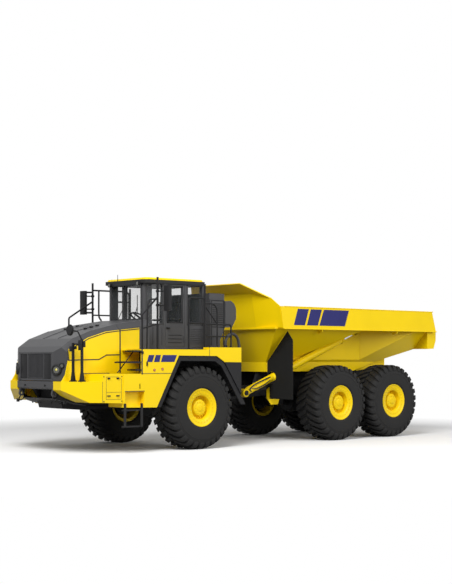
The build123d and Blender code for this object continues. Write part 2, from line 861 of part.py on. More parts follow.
with BuildPart() as cab_door:
    with BuildSketch(side(cab_rear_half)):
        with Locations(((door_rear_x + door_front_x) / 2, (door_low_z + cab_head_z) / 2)):
            Rectangle(door_width - 2 * door_gap, cab_head_z - door_low_z - 2 * door_gap)
        with Locations(((door_rear_x + door_front_x) / 2, (window_low_z + cab_head_z) / 2)):
            RectangleRounded(door_width - 130, cab_head_z - window_low_z - 80, 40, mode=Mode.SUBTRACT)
    extrude(amount=45)
    for z in hinge_heights:
        for low in (z - 65, z + 28.3):
            with BuildSketch(Plane.XY.offset(low)):
                with Locations((door_rear_x + door_gap, cab_rear_half + 6)):
                    Circle(hinge_radius + 3)
            extrude(amount=36.7, mode=Mode.SUBTRACT)
        with BuildSketch(Plane.XY.offset(z - 31)):
            with Locations((door_rear_x + door_gap, cab_rear_half + 6)):
                Circle(hinge_radius)
        extrude(amount=62)
save(cab_door, "cab_door")

with BuildPart() as door_glass:
    with BuildSketch(side(cab_rear_half - 22)):
        with Locations(((door_rear_x + door_front_x) / 2, (window_low_z + cab_head_z) / 2)):
            RectangleRounded(door_width - 130, cab_head_z - window_low_z - 80, 40)
    extrude(amount=pane)
save(door_glass, "door_glass")

with BuildPart() as cab_roof:
    with BuildSketch(Plane.XY.offset(cab_top_z)):
        with Locations((front_axle_x - 40, 0)):
            RectangleRounded(1680, 1490, 120)
    extrude(amount=roof_top_z - cab_top_z, taper=30)
save(cab_roof, "cab_roof")

with BuildPart() as cab_console:
    with BuildSketch(Plane.XY.offset(cab_floor_z)):
        with Locations((front_axle_x - 330, 0)):
            Rectangle(380, 420)
    extrude(amount=330)
    with BuildSketch(side(430)):
        Polygon(
            (cab_front_x - cab_wall, cab_floor_z),
            (cab_front_x - cab_wall, 2760),
            (cab_front_x - 330, 2720),
            (cab_front_x - 300, 2560),
            (cab_front_x - 250, cab_floor_z),
            align=None,
        )
    extrude(amount=860)
    column = Plane(origin=(cab_front_x - 290, 0, 2640), z_dir=(-0.5, 0, 0.86))
    with BuildSketch(column):
        Circle(32)
    extrude(amount=175)
    with BuildSketch(column.offset(160)):
        Circle(225)
        Circle(200, mode=Mode.SUBTRACT)
        Rectangle(420, 40)
    extrude(amount=28)
save(cab_console, "cab_console")

seat_x = front_axle_x - 330
with BuildPart() as driver_seat:
    with BuildSketch(Plane.XY.offset(cab_floor_z + 330)):
        with Locations((seat_x + 20, 0)):
            RectangleRounded(520, 500, 60)
    extrude(amount=140)
    with BuildSketch(side(240)):
        Polygon(
            (seat_x - 130, cab_floor_z + 450),
            (seat_x - 210, 3170),
            (seat_x - 330, 3170),
            (seat_x - 260, cab_floor_z + 450),
            align=None,
        )
    extrude(amount=480)
save(driver_seat, "driver_seat")

# ---------------------------------------------------------------- handrails and mirrors
rail_radius = 19
handrail_y = 1316
rails = []
for way, fore_x in ((1, front_axle_x + 940), (-1, front_axle_x + 700)):
    y = way * handrail_y
    rails += [
        bar([(fore_x, y, deck_z), (fore_x, y, 3590)], rail_radius + 4),
        bar([(front_axle_x - 348, y, deck_z), (front_axle_x - 348, y, 3497)], rail_radius + 4),
        bar([(front_axle_x + 100, y, deck_z), (front_axle_x + 100, y, 3190), (front_axle_x - 348, y, 3190)],
            rail_radius),
        bar([(front_axle_x + 1340, y, deck_z), (front_axle_x + 1340, y, 2800), (fore_x, y, 3180)], rail_radius),
        bar([(front_axle_x - 348, y, 2640), (front_axle_x - 1100, y, 2640), (front_axle_x - 1100, y, deck_z)],
            rail_radius),
    ]
with BuildPart() as handrails:
    for rail in rails:
        add(rail)
save(handrails, "handrails")

mirror_y = 1500
mirror_x = front_axle_x + 820
mirror_arms = [
    bar([(front_axle_x + 940 - 240 * (way < 0), way * handrail_y, z), (mirror_x, way * (mirror_y - 60), z)], 14)
    for way in (1, -1)
    for z in (3010, 3300)
]
with BuildPart() as mirrors:
    for arm in mirror_arms:
        add(arm)
    for way in (1, -1):
        with BuildSketch(Plane.XY.offset(2890)):
            with Locations((mirror_x, way * mirror_y)):
                RectangleRounded(90, 200, 40)
        extrude(amount=530)
    add(handrails.part, mode=Mode.SUBTRACT)
save(mirrors, "mirrors")

# ---------------------------------------------------------------- cooling and exhaust behind the cab
cooler_rear_x = front_axle_x - 1280
with BuildPart() as cooler_box:
    with BuildSketch(side(900)):
        Polygon(
            (cab_rear_x - 25, 2143),
            (cab_rear_x - 25, 3200),
            (cooler_rear_x, 3200),
            (cooler_rear_x, 2560),
            (deck_rear_x, 2300),
            (deck_rear_x, 2143),
            align=None,
        )
    extrude(amount=1800)
    with BuildSketch(side(740)):
        Polygon((cab_rear_x - 25, deck_z), (cab_rear_x - 25, 2143), (deck_rear_x, 2143), (deck_rear_x, deck_z),
                align=None)
    extrude(amount=1480)
save(cooler_box, "cooler_box")
with BuildPart() as intake_box:
    with BuildSketch(side(860)):
        with Locations(((cab_rear_x - 25 + front_axle_x - 1307) / 2, 3268)):
            Rectangle(cab_rear_x - 25 - front_axle_x + 1307, 136)
    extrude(amount=1720)
save(intake_box, "intake_box")
with BuildPart() as exhaust_box:
    with BuildSketch(side(930)):
        with BuildLine():
            Polyline(
                (cooler_rear_x, 3170),
                (cooler_rear_x - 150, 3185),
            )
            ThreePointArc((cooler_rear_x - 150, 3185), (cooler_rear_x - 270, 3110), (cooler_rear_x - 320, 2960))
            Polyline(
                (cooler_rear_x - 320, 2960),
                (cooler_rear_x - 320, 2790),
                (cooler_rear_x - 200, 2600),
                (cooler_rear_x, 2590),
                (cooler_rear_x, 3170),
            )
        make_face()
    extrude(amount=1860)
save(exhaust_box, "exhaust_box")

# ---------------------------------------------------------------- hitch
swivel_radius = 140
swivel_front_x = hitch_x - 340
swivel_rear_x = hitch_x - 640
ring_gap = 0.3
with BuildPart() as hitch:
    with BuildSketch(Plane.XY.offset(hitch_z - lug_spread + lug_plate / 2 + ring_gap)):
        with Locations((hitch_x, 0)):
            Circle(110)
    extrude(amount=2 * (lug_spread - lug_plate / 2 - ring_gap))
    with BuildSketch(Plane.XY.offset(hitch_z - lug_spread - lug_plate / 2 - 20)):
        with Locations((hitch_x, 0)):
            Circle(hitch_pin_radius)
    extrude(amount=2 * lug_spread + lug_plate + 40)
    with BuildSketch(Plane.XY.offset(hitch_z - 110)):
        Polygon((hitch_x, 105), (hitch_x - 310, 170), (hitch_x - 310, -170), (hitch_x, -105), align=None)
    extrude(amount=220)
    with BuildSketch(Plane(origin=(hitch_x - 290, 0, hitch_z), x_dir=(0, 1, 0), z_dir=(-1, 0, 0))):
        Circle(205)
    extrude(amount=50 - ring_gap)
    with BuildSketch(Plane(origin=(hitch_x - 300, 0, hitch_z), x_dir=(0, 1, 0), z_dir=(-1, 0, 0))):
        Circle(swivel_radius)
    extrude(amount=380)
    with BuildSketch(Plane(origin=(swivel_rear_x - ring_gap, 0, hitch_z), x_dir=(0, 1, 0), z_dir=(-1, 0, 0))):
        Circle(185)
    extrude(amount=40)
    # ears that take the steering rods
    for z in (hitch_z - steer_fork - 40, hitch_z + steer_fork):
        with BuildSketch(Plane.XY.offset(z)):
            Polygon((steer_ear[0] + 70, 90), (steer_ear[0] + 62, steer_ear[1] + 62),
                    (steer_ear[0] - 62, steer_ear[1] + 62), (steer_ear[0] - 110, 100), align=None)
        extrude(amount=40)
        with BuildSketch(Plane.XY.offset(z)):
            Polygon((steer_ear[0] + 70, -90), (steer_ear[0] + 62, -steer_ear[1] - 62),
                    (steer_ear[0] - 62, -steer_ear[1] - 62), (steer_ear[0] - 110, -100), align=None)
        extrude(amount=40)
save(hitch, "hitch")

# ---------------------------------------------------------------- steering cylinders
steer_run = (steer_ear[0] - steer_base[0], steer_ear[1] - steer_base[1])
steer_length = hypot(*steer_run)
steer_rod_radius = 32
eye_half = steer_fork - 3
for hand, way in (("left", 1), ("right", -1)):
    along = (steer_run[0] / steer_length, way * steer_run[1] / steer_length)
    base = (steer_base[0], way * steer_base[1])
    ram = Plane(origin=(base[0], base[1], hitch_z), x_dir=(0, 0, 1), z_dir=(along[0], along[1], 0))
    eye = Plane(origin=(base[0], base[1], hitch_z - eye_half), x_dir=(1, 0, 0), z_dir=(0, 0, 1))
    tip = Plane(origin=(steer_ear[0], way * steer_ear[1], hitch_z - eye_half), x_dir=(1, 0, 0), z_dir=(0, 0, 1))
    with BuildPart() as barrel:
        with BuildSketch(ram.offset(60)):
            Circle(58)
        extrude(amount=490)
        with BuildSketch(eye):
            Circle(62)
        extrude(amount=2 * eye_half)
        with BuildSketch(eye):
            Circle(steer_pin_radius + running_gap)
        extrude(amount=2 * eye_half, mode=Mode.SUBTRACT)
        with BuildSketch(ram.offset(45)):
            Circle(steer_rod_radius + running_gap)
        extrude(amount=600, mode=Mode.SUBTRACT)
    save(barrel, f"steer_barrel_{hand}")
    with BuildPart() as rod:
        with BuildSketch(ram.offset(285)):
            Circle(steer_rod_radius)
        extrude(amount=steer_length - 285)
        with BuildSketch(tip):
            Circle(50)
        extrude(amount=2 * eye_half)
    save(rod, f"steer_rod_{hand}")

# ---------------------------------------------------------------- rear frame
beam_inner_y = 330
beam_outer_y = 420
bed_pin_radius = 38
bed_lug_radius = 66
bed_clearance = 10
floor_rise = 0.2756
keel_x = front_axle_x - 5650
frame_tail_x = bed_hinge_x - 210
hoist_pin_radius = 45
hoist_pin_end = hoist_y + 90
bogie_x = (centre_axle_x + rear_axle_x) / 2
rear_tow_eye = (frame_tail_x - 75, 0, 1150)
rear_outline = [
    (front_axle_x - 1700, 960),
    (front_axle_x - 1700, 1240),
    (front_axle_x - 2640, 1300),
    (front_axle_x - 2760, floor_z - bed_clearance),
    (keel_x, floor_z - bed_clearance),
    (bed_hinge_x + 90, 1858),
    (bed_hinge_x - 64, 1815),
    (frame_tail_x, 1500),
    (frame_tail_x, 1030),
    (front_axle_x - 2700, 1030),
]
with BuildPart() as rear_frame:
    with BuildSketch(side(beam_outer_y)):
        Polygon(*rear_outline, align=None)
        with Locations((bed_hinge_x, bed_hinge_z)):
            Circle(bed_lug_radius)
            Circle(bed_pin_radius + running_gap, mode=Mode.SUBTRACT)
    extrude(amount=beam_outer_y - beam_inner_y)
    # webs that tie the swivel housing to the beams
    with BuildSketch(side(beam_outer_y)):
        with Locations((front_axle_x - 1835, hitch_z)):
            Rectangle(270, 250)
    extrude(amount=beam_outer_y - 180)
    # cross-beam and lower pin of the hoist
    with BuildSketch(side(hoist_y - 90)):
        with Locations(hoist_low):
            Rectangle(150, 150)
    extrude(amount=hoist_y - 90 - 215)
    with BuildSketch(side(hoist_pin_end)):
        with Locations(hoist_low):
            Circle(hoist_pin_radius)
    extrude(amount=180)
    # arms that carry the flap brackets
    with BuildSketch(side(830)):
        with Locations((front_axle_x - 2890, 1110)):
            Rectangle(140, 120)
    extrude(amount=830 - beam_outer_y)
    mirror(about=Plane.XZ)
    for x in (front_axle_x - 2080, front_axle_x - 3500, bogie_x, frame_tail_x + 20):
        with BuildSketch(front(x - 20)):
            with Locations((0, 1200)):
                Rectangle(2 * beam_inner_y, 240)
        extrude(amount=40)
    with BuildSketch(Plane(origin=(swivel_front_x, 0, hitch_z), x_dir=(0, 1, 0), z_dir=(-1, 0, 0))):
        Circle(220)
        Circle(swivel_radius + running_gap, mode=Mode.SUBTRACT)
    extrude(amount=swivel_front_x - swivel_rear_x)
    with BuildSketch(side(20)):
        with Locations(((frame_tail_x + rear_tow_eye[0]) / 2, rear_tow_eye[2])):
            Rectangle(frame_tail_x - rear_tow_eye[0], 130)
        with Locations((rear_tow_eye[0], rear_tow_eye[2])):
            Circle(65)
            Circle(tow_hole_radius, mode=Mode.SUBTRACT)
    extrude(amount=40)
save(rear_frame, "rear_frame")

bogie_inner_y = 500
bogie_outer_y = 620
with BuildPart() as bogie_beams:
    with BuildSketch(side(bogie_outer_y)):
        Polygon(
            (centre_axle_x + 170, 985),
            (centre_axle_x + 170, 1070),
            (bogie_x + 500, 1190),
            (bogie_x - 500, 1190),
            (rear_axle_x - 170, 1070),
            (rear_axle_x - 170, 985),
            (bogie_x - 500, 950),
            (bogie_x + 500, 950),
            align=None,
        )
        with Locations((centre_axle_x, axle_z), (rear_axle_x, axle_z)):
            Circle(axle_tube_radius, mode=Mode.SUBTRACT)
    extrude(amount=bogie_outer_y - bogie_inner_y)
    with BuildSketch(side(bogie_inner_y)):
        with Locations((bogie_x, 1100)):
            Circle(80)
    extrude(amount=bogie_inner_y - beam_outer_y)
    mirror(about=Plane.XZ)
save(bogie_beams, "bogie_beams")

# ---------------------------------------------------------------- flaps ahead of the centre wheels
flap_x = front_axle_x - 2717
flap_plate = 12
flap_gap = 22
bracket_plate = 16
keel_half = 750
chine_z = 1820
body_half = 1450
wall_lean = (body_half - keel_half) / (rail_low_z - chine_z)
with BuildPart() as flap_brackets:
    with BuildSketch(side(830 + bracket_plate)):
        Polygon(
            (front_axle_x - 2630, 1000),
            (front_axle_x - 2630, 1190),
            (front_axle_x - 2720, 1250),
            (front_axle_x - 3110, 1250),
            (front_axle_x - 3110, 1180),
            (front_axle_x - 2980, 846),
            (front_axle_x - 2760, 846),
            align=None,
        )
    extrude(amount=bracket_plate)
    mirror(about=Plane.XZ)
save(flap_brackets, "flap_brackets")
with BuildPart() as mud_flaps:
    with BuildSketch(front(flap_x - flap_plate / 2)):
        Polygon(
            (705, 980),
            (keel_half + flap_gap, 1500),
            (keel_half + flap_gap, chine_z + 10),
            (body_half - 20, 2520),
            (deck_y, 2320),
            (deck_y, 980),
            align=None,
        )
        hole_z = hoist_low[1] + (hoist_low[0] - flap_x) * 0.3823
        with Locations((hoist_y, hole_z)):
            Circle(140, mode=Mode.SUBTRACT)
    extrude(amount=flap_plate)
    mirror(about=Plane.XZ)
    add(flap_brackets.part, mode=Mode.SUBTRACT)
save(mud_flaps, "mud_flaps")

with BuildPart() as tail_lamps:
    with BuildSketch(side(beam_outer_y)):
        with Locations((frame_tail_x - 20, 1340)):
            Rectangle(40, 130)
    extrude(amount=beam_outer_y - 250)
    mirror(about=Plane.XZ)
save(tail_lamps, "tail_lamps")

# ---------------------------------------------------------------- dump body
front_lean = (2330 - 2690) / (2600 - chine_z)
fork_half_gap = 55
fork_plate = 25
ear_inner_y = 440
ear_outer_y = 500


def body_side(top, tail):
    """Side outline of the body's floor and front wall, up to a height and back to a tail."""
    return Polygon(
        (front_axle_x - 2330 - front_lean * (top - 2600), top),
        (bed_front_x, chine_z),
        (bed_front_x, floor_z),
        (keel_x, floor_z),
        (tail, floor_z + floor_rise * (keel_x - tail)),
        (tail, top),
        align=None,
    )


def body_section(top):
    """Cross-section of the body's floor and leaning walls, up to a height."""
    half = keel_half + wall_lean * (top - chine_z)
    return Polygon((-half, top), (-keel_half, chine_z), (-keel_half, floor_z), (keel_half, floor_z),
                   (keel_half, chine_z), (half, top), align=None)


with BuildPart() as load_space:
    with BuildSketch(front(tail_x - 400)):
        body_section(2900)
        offset(amount=-bed_wall, kind=Kind.INTERSECTION, mode=Mode.REPLACE)
    extrude(amount=front_axle_x - 2000 - tail_x + 400)
    with BuildSketch(side(deck_y)):
        body_side(3300, tail_x - 300)
        offset(amount=-bed_wall, kind=Kind.INTERSECTION, mode=Mode.REPLACE)
    extrude(amount=2 * deck_y, mode=Mode.INTERSECT)

# The pocket over the hoist follows the cylinder's line, from its foot to behind its upper eye.
hoist_run = (hoist_eye[0] - hoist_low[0], hoist_eye[1] - hoist_low[1])
hoist_length = hypot(*hoist_run)
hoist_way = (hoist_run[0] / hoist_length, hoist_run[1] / hoist_length)
pocket_inner_y = 800
pocket_head = 130


def along_hoist(distance, lift):
    """X and Z of a point along the hoist's line from its foot, raised at right angles to it."""
    return (hoist_low[0] + distance * hoist_way[0] + lift * hoist_way[1],
            hoist_low[1] + distance * hoist_way[1] - lift * hoist_way[0])


def pocket_outline(grow):
    """Side outline of the pocket over the hoist, grown by a wall."""
    rear_x = hoist_eye[0] - 380 - grow
    return Polygon(
        along_hoist(1200, pocket_head + grow),
        along_hoist(hoist_length + 340, pocket_head + grow),
        (rear_x, along_hoist(hoist_length + 340, pocket_head + grow)[1]),
        (rear_x, 1500),
        (along_hoist(1200, pocket_head + grow)[0], 1500),
        align=None,
    )


# Behind the upper eye a ramp leads the pocket's inner wall out to the tail.
ramp_fore_x = hoist_eye[0] - 370
ramp_rear_x = tail_x + 420
ramp_length = hypot(ramp_fore_x - ramp_rear_x, deck_y - pocket_inner_y)


def pocket_ramp(grow, way):
    """Plan of the space outside the ramp on one side, grown by a wall."""
    return Polygon(
        (ramp_fore_x, way * (pocket_inner_y - grow * ramp_length / (ramp_fore_x - ramp_rear_x))),
        (ramp_fore_x, way * deck_y),
        (ramp_rear_x - grow * ramp_length / (deck_y - pocket_inner_y), way * deck_y),
        align=None,
    )


def ramp_top(grow):
    """Height of the pocket's roof behind the upper eye."""
    return along_hoist(hoist_length + 340, pocket_head + grow)[1]


with BuildPart() as pocket_walls:
    for way in (1, -1):
        with BuildSketch(Plane.XY.offset(1500)):
            pocket_ramp(bed_wall, way)
        extrude(amount=ramp_top(bed_wall) - 1500)
        pocket_depth = deck_y - pocket_inner_y + bed_wall
        with BuildSketch(side(way * (deck_y - pocket_depth / 2) + pocket_depth / 2)):
            pocket_outline(bed_wall)
        extrude(amount=pocket_depth)
    add(load_space.part, mode=Mode.INTERSECT)

headboard = [
    # the centre, the canopy over the cab, then each side
    [(-2300, -850, 2600), (-2300, 850, 2600), (-2160, 850, 3380), (-2160, -850, 3380)],
    [(-2160, -850, 3380), (-2160, 850, 3380), (-1790, 850, 3590), (-1790, -850, 3590)],
]
for way in (1, -1):
    headboard += [
        [(-2300, way * 850, 2600), (-2420, way * 1580, 2600), (-2335, way * 1580, 3074),
         (-2269, way * 1376, 3250), (-2160, way * 850, 3380)],
        [(-1790, way * 850, 3590), (-2160, way * 850, 3380), (-2269, way * 1376, 3250)],
    ]
headboard_plates = [
    plate([(front_axle_x + x, y, z) for x, y, z in corners], bed_wall)
    for corners in headboard
]

with BuildPart() as dump_body:
    with BuildSketch(front(tail_x)):
        body_section(rail_low_z)
    extrude(amount=front_axle_x - 2200 - tail_x)
    with BuildSketch(side(deck_y)):
        body_side(2600, tail_x)
    extrude(amount=2 * deck_y, mode=Mode.INTERSECT)
    # bolster round the tail
    with BuildSketch(side(1500)):
        Polygon(
            (tail_x + 334, 2140),
            (tail_x + 84, 2150),
            (tail_x, 2360),
            (tail_x, rail_low_z),
            (tail_x + 334, rail_low_z),
            align=None,
        )
    extrude(amount=3000)
    # ledge under the headboard
    with BuildSketch(side(1470)):
        with Locations((front_axle_x - 2318, 2588)):
            Rectangle(75, 40)
    extrude(amount=2940)
    add(load_space.part, mode=Mode.SUBTRACT)
    add(pocket_walls.part)
    for way in (1, -1):
        middle = way * (deck_y + pocket_inner_y) / 2
        with BuildSketch(side(middle + (deck_y - pocket_inner_y) / 2)):
            pocket_outline(0)
        extrude(amount=deck_y - pocket_inner_y, mode=Mode.SUBTRACT)
        with BuildSketch(Plane.XY.offset(1500)):
            pocket_ramp(0, way)
        extrude(amount=ramp_top(0) - 1500, mode=Mode.SUBTRACT)
    for headboard_plate in headboard_plates:
        add(headboard_plate)
    for way in (1, -1):
        # side rail
        with BuildSketch(front(tail_x)):
            Polygon(
                (way * (body_half - 32), rail_low_z),
                (way * rail_y, rail_low_z),
                (way * rail_y, rail_top_z),
                (way * 1480, rail_top_z),
                (way * 1480, rail_low_z + 67),
                align=None,
            )
        rail_block = extrude(amount=front_axle_x - 2200 - tail_x, mode=Mode.PRIVATE)
        with BuildSketch(side(1700), mode=Mode.PRIVATE) as rail_side:
            Polygon(
                (front_axle_x - 2420, rail_low_z),
                (front_axle_x - 2335, rail_top_z),
                (tail_x + 274, rail_top_z),
                (tail_x + 114, rail_low_z),
                align=None,
            )
        rail_cut = extrude(rail_side.sketch, amount=3400, dir=(0, -1, 0), mode=Mode.PRIVATE)
        add(rail_block & rail_cut)
        # fork over the hoist's upper eye, and a boss on its outer plate
        for fork_y in (hoist_y - fork_half_gap, hoist_y + fork_half_gap + fork_plate):
            with BuildSketch(side(way * (fork_y - fork_plate / 2) + fork_plate / 2)):
                Polygon(along_hoist(hoist_length - 75, 0), along_hoist(hoist_length + 75, 0),
                        along_hoist(hoist_length + 75, pocket_head + 5),
                        along_hoist(hoist_length - 75, pocket_head + 5), align=None)
                with Locations(hoist_eye):
                    Circle(75)
            extrude(amount=fork_plate)
        with BuildSketch(side(way * (hoist_y + fork_half_gap + fork_plate + 10) + 10)):
            with Locations(hoist_eye):
                Circle(45)
        extrude(amount=20)
        # hinge ear and pin
        with BuildSketch(side(way * (ear_inner_y + ear_outer_y) / 2 + (ear_outer_y - ear_inner_y) / 2)):
            Polygon((bed_hinge_x - 60, bed_hinge_z), (bed_hinge_x + 60, bed_hinge_z),
                    (bed_hinge_x + 200, 1870), (bed_hinge_x - 200, 1980), align=None)
            with Locations((bed_hinge_x, bed_hinge_z)):
                Circle(bed_lug_radius)
        extrude(amount=ear_outer_y - ear_inner_y)
        pin_length = ear_outer_y - beam_inner_y + 20
        with BuildSketch(side(way * (ear_outer_y - pin_length / 2) + pin_length / 2)):
            with Locations((bed_hinge_x, bed_hinge_z)):
                Circle(bed_pin_radius)
        extrude(amount=pin_length)
save(dump_body, "dump_body")

# ---------------------------------------------------------------- hoist cylinders
gland = hoist_length - 170
bore_start = 1650
for hand, way in (("left", 1), ("right", -1)):
    foot = Plane(
        origin=(hoist_low[0], way * hoist_y, hoist_low[1]),
        x_dir=(0, 1, 0),
        z_dir=(hoist_way[0], 0, hoist_way[1]),
    )
    with BuildPart() as barrel:
        with BuildSketch(foot.offset(55)):
            Circle(hoist_barrel_radius)
        extrude(amount=gland - 55)
        with BuildSketch(side(way * hoist_y + 70)):
            with Locations(hoist_low):
                Circle(90)
        extrude(amount=140)
        with BuildSketch(side(way * hoist_y + 90)):
            with Locations(hoist_low):
                Circle(hoist_pin_radius + running_gap)
        extrude(amount=180, mode=Mode.SUBTRACT)
        with BuildSketch(foot.offset(bore_start)):
            Circle(hoist_rod_radius + running_gap)
        extrude(amount=gland, mode=Mode.SUBTRACT)
    save(barrel, f"hoist_barrel_{hand}")
    with BuildPart() as rod:
        with BuildSketch(foot.offset(bore_start + 110)):
            Circle(hoist_rod_radius)
        extrude(amount=hoist_length - bore_start - 110)
        with BuildSketch(side(way * hoist_y + 50)):
            with Locations(hoist_eye):
                Circle(70)
        extrude(amount=100)
    save(rod, f"hoist_rod_{hand}")
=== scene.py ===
import json
from math import atan2, pi, radians

import bmesh
import bpy
from mathutils import Matrix, Vector


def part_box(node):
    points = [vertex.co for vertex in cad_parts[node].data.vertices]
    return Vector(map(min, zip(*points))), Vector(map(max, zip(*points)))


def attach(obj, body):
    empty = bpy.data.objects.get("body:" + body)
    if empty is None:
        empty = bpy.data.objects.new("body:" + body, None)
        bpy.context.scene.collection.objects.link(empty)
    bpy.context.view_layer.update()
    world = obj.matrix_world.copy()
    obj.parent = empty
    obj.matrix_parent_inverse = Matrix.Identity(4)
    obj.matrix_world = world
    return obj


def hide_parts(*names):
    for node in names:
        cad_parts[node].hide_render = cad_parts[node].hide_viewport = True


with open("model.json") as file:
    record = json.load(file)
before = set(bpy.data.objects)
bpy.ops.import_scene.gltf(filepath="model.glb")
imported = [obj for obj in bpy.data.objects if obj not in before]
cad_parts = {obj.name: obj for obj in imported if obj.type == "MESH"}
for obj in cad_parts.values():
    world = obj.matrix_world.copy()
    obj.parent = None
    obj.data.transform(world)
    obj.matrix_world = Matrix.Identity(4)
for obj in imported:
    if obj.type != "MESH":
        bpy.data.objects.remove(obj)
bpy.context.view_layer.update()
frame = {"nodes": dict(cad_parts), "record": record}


# ---- Painted steelwork
# The frame, cab, decks and bed are welded plate with gloss topcoat: yellow on the panels, a dark
# grey on hood and cab, and black below. Sprayed paint shows a faint ripple and light road dust.
class Wire:
    """A socket in a material's nodes. Sums on it add the nodes that work them out."""

    def __init__(self, tree, socket=None):
        self.tree = tree
        self.socket = socket

    def add(self, kind, settings=None, inputs=None, out=0):
        """Adds a node of this type, its settings first and then its sockets' values or links."""
        node = self.tree.nodes.new(kind)
        for name, value in (settings or {}).items():
            setattr(node, name, value)
        for name, value in (inputs or {}).items():
            if isinstance(value, Wire):
                self.tree.links.new(value.socket, node.inputs[name])
            else:
                node.inputs[name].default_value = value
        return Wire(self.tree, node.outputs[out] if len(node.outputs) else None)

    def maths(self, operation, *terms):
        """A Math node on these values."""
        return self.add("ShaderNodeMath", {"operation": operation}, dict(enumerate(terms)))

    def __add__(self, other):
        return self.maths("ADD", self, other)

    def __sub__(self, other):
        return self.maths("SUBTRACT", self, other)

    def __rsub__(self, other):
        return self.maths("SUBTRACT", other, self)

    def __mul__(self, other):
        return self.maths("MULTIPLY", self, other)

    __radd__ = __add__
    __rmul__ = __mul__

    def held(self):
        """This value kept between 0 and 1."""
        return self.add("ShaderNodeClamp", {}, {"Value": self})

    def between(self, low, high):
        """The colour this far from low to high."""
        return self.add("ShaderNodeMix", {"data_type": "RGBA"}, {0: self, 6: low, 7: high}, 2)

    def noise(self, scale, detail):
        """Cloudy values about 0.5 over these coordinates."""
        return self.add("ShaderNodeTexNoise", {}, {"Vector": self, "Scale": scale, "Detail": detail}, 0)

    def bands(self, direction, pitch):
        """Soft waves over these coordinates, running this way."""
        sockets = {"Vector": self, "Scale": pitch}
        return self.add("ShaderNodeTexWave", {"bands_direction": direction}, sockets, "Fac")

    def relief(self, strength, distance):
        """The surface normal that this height gives."""
        sockets = {"Strength": strength, "Distance": distance, "Height": self}
        return self.add("ShaderNodeBump", {}, sockets, "Normal")


def new_finish(name):
    """A material with no nodes yet, and the Object coordinates that its nodes start from."""
    material = bpy.data.materials.new(name)
    material.use_nodes = True
    material.node_tree.nodes.clear()
    return material, Wire(material.node_tree).add("ShaderNodeTexCoord", {}, {}, "Object")


def coat_with(start, sockets):
    """Ends a material in one shader with these sockets."""
    shader = start.add("ShaderNodeBsdfPrincipled", {}, sockets)
    start.add("ShaderNodeOutputMaterial", {}, {"Surface": shader})


def paint(name, colour, dust=0.22, roughness=0.36, coat=0.12, gloss=0.30):
    """Sprayed topcoat: ripple, slight cloudiness, and dust that thickens towards the ground."""
    material, place = new_finish(name)
    cloud = place.noise(1.3, 4.0)
    speck = place.noise(38.0, 6.0)
    height = place.add("ShaderNodeSeparateXYZ", {}, {"Vector": place}, "Z")
    low_down = ((1.9 - height) * 0.55).held()
    film = (low_down * low_down * (cloud * 1.3 - 0.25).held() * (speck * 1.6 - 0.2).held() * dust).held()
    deep = tuple(part * 0.9 for part in colour[:3]) + (1.0,)
    tint = (cloud * 1.4 - 0.2).held().between(deep, colour)
    coat_with(place, {
        "Base Color": film.between(tint, (0.30, 0.25, 0.17, 1.0)),
        "Roughness": (film * 0.45 + speck * 0.08 + roughness).held(),
        "Coat Weight": (coat - film * coat).held(),
        "Coat Roughness": 0.16,
        "Specular IOR Level": gloss,
        "Normal": place.noise(210.0, 1.0).relief(0.05, 0.001),
    })
    return material


yellow_paint = paint("yellow_paint", (0.94, 0.66, 0.002, 1.0), coat=0.06, gloss=0.16)
grey_paint = paint("grey_paint", (0.050, 0.050, 0.053, 1.0), roughness=0.46, coat=0.06, gloss=0.25)
black_paint = paint("black_paint", (0.011, 0.011, 0.012, 1.0), dust=0.05, roughness=0.52, coat=0.0, gloss=0.18)

chrome, place = new_finish("hard_chrome")
coat_with(place, {
    "Base Color": (0.62, 0.63, 0.65, 1.0),
    "Metallic": 1.0,
    "Roughness": place.noise(90.0, 3.0) * 0.12 + 0.14,
})

flap_rubber, place = new_finish("flap_rubber")
bloom = place.noise(3.5, 6.0)
coat_with(place, {
    "Base Color": bloom.between((0.007, 0.007, 0.007, 1.0), (0.014, 0.014, 0.013, 1.0)),
    "Roughness": bloom * 0.2 + 0.66,
    "Specular IOR Level": 0.18,
    "Normal": place.noise(160.0, 2.0).relief(0.25, 0.002),
})

dark_plastic, place = new_finish("dark_plastic")
pebble = place.add("ShaderNodeTexVoronoi", {}, {"Vector": place, "Scale": 420.0}, "Distance")
patch = place.noise(6.0, 3.0)
coat_with(place, {
    "Base Color": patch.between((0.013, 0.013, 0.014, 1.0), (0.021, 0.021, 0.022, 1.0)),
    "Roughness": patch * 0.15 + 0.55,
    "Specular IOR Level": 0.2,
    "Normal": pebble.relief(0.2, 0.0006),
})

tinted_glass, place = new_finish("tinted_glass")
smear = place.noise(2.2, 5.0)
coat_with(place, {
    "Base Color": smear.between((0.055, 0.065, 0.065, 1.0), (0.085, 0.095, 0.095, 1.0)),
    "Roughness": (smear * 0.1).held(),
    "Alpha": smear * 0.03 + 0.09,
    "Specular IOR Level": 0.3,
})


def lens(name, bright, dark, direction, pitch, metal=0.0):
    """Clear or coloured plastic with moulded ribs over a lamp's reflector."""
    material, place = new_finish(name)
    ribs = place.bands(direction, pitch)
    coat_with(place, {
        "Base Color": ribs.between(dark, bright),
        "Metallic": metal,
        "Roughness": ribs * 0.08 + 0.1,
        "Coat Weight": 0.9,
        "Normal": ribs.relief(0.35, 0.002),
    })
    return material


lamp_lens = lens("lamp_lens", (0.13, 0.13, 0.10, 1.0), (0.03, 0.03, 0.028, 1.0), "Y", 26.0, metal=0.4)
tail_lens = lens("tail_lens", (0.55, 0.012, 0.010, 1.0), (0.30, 0.005, 0.005, 1.0), "Z", 38.0)

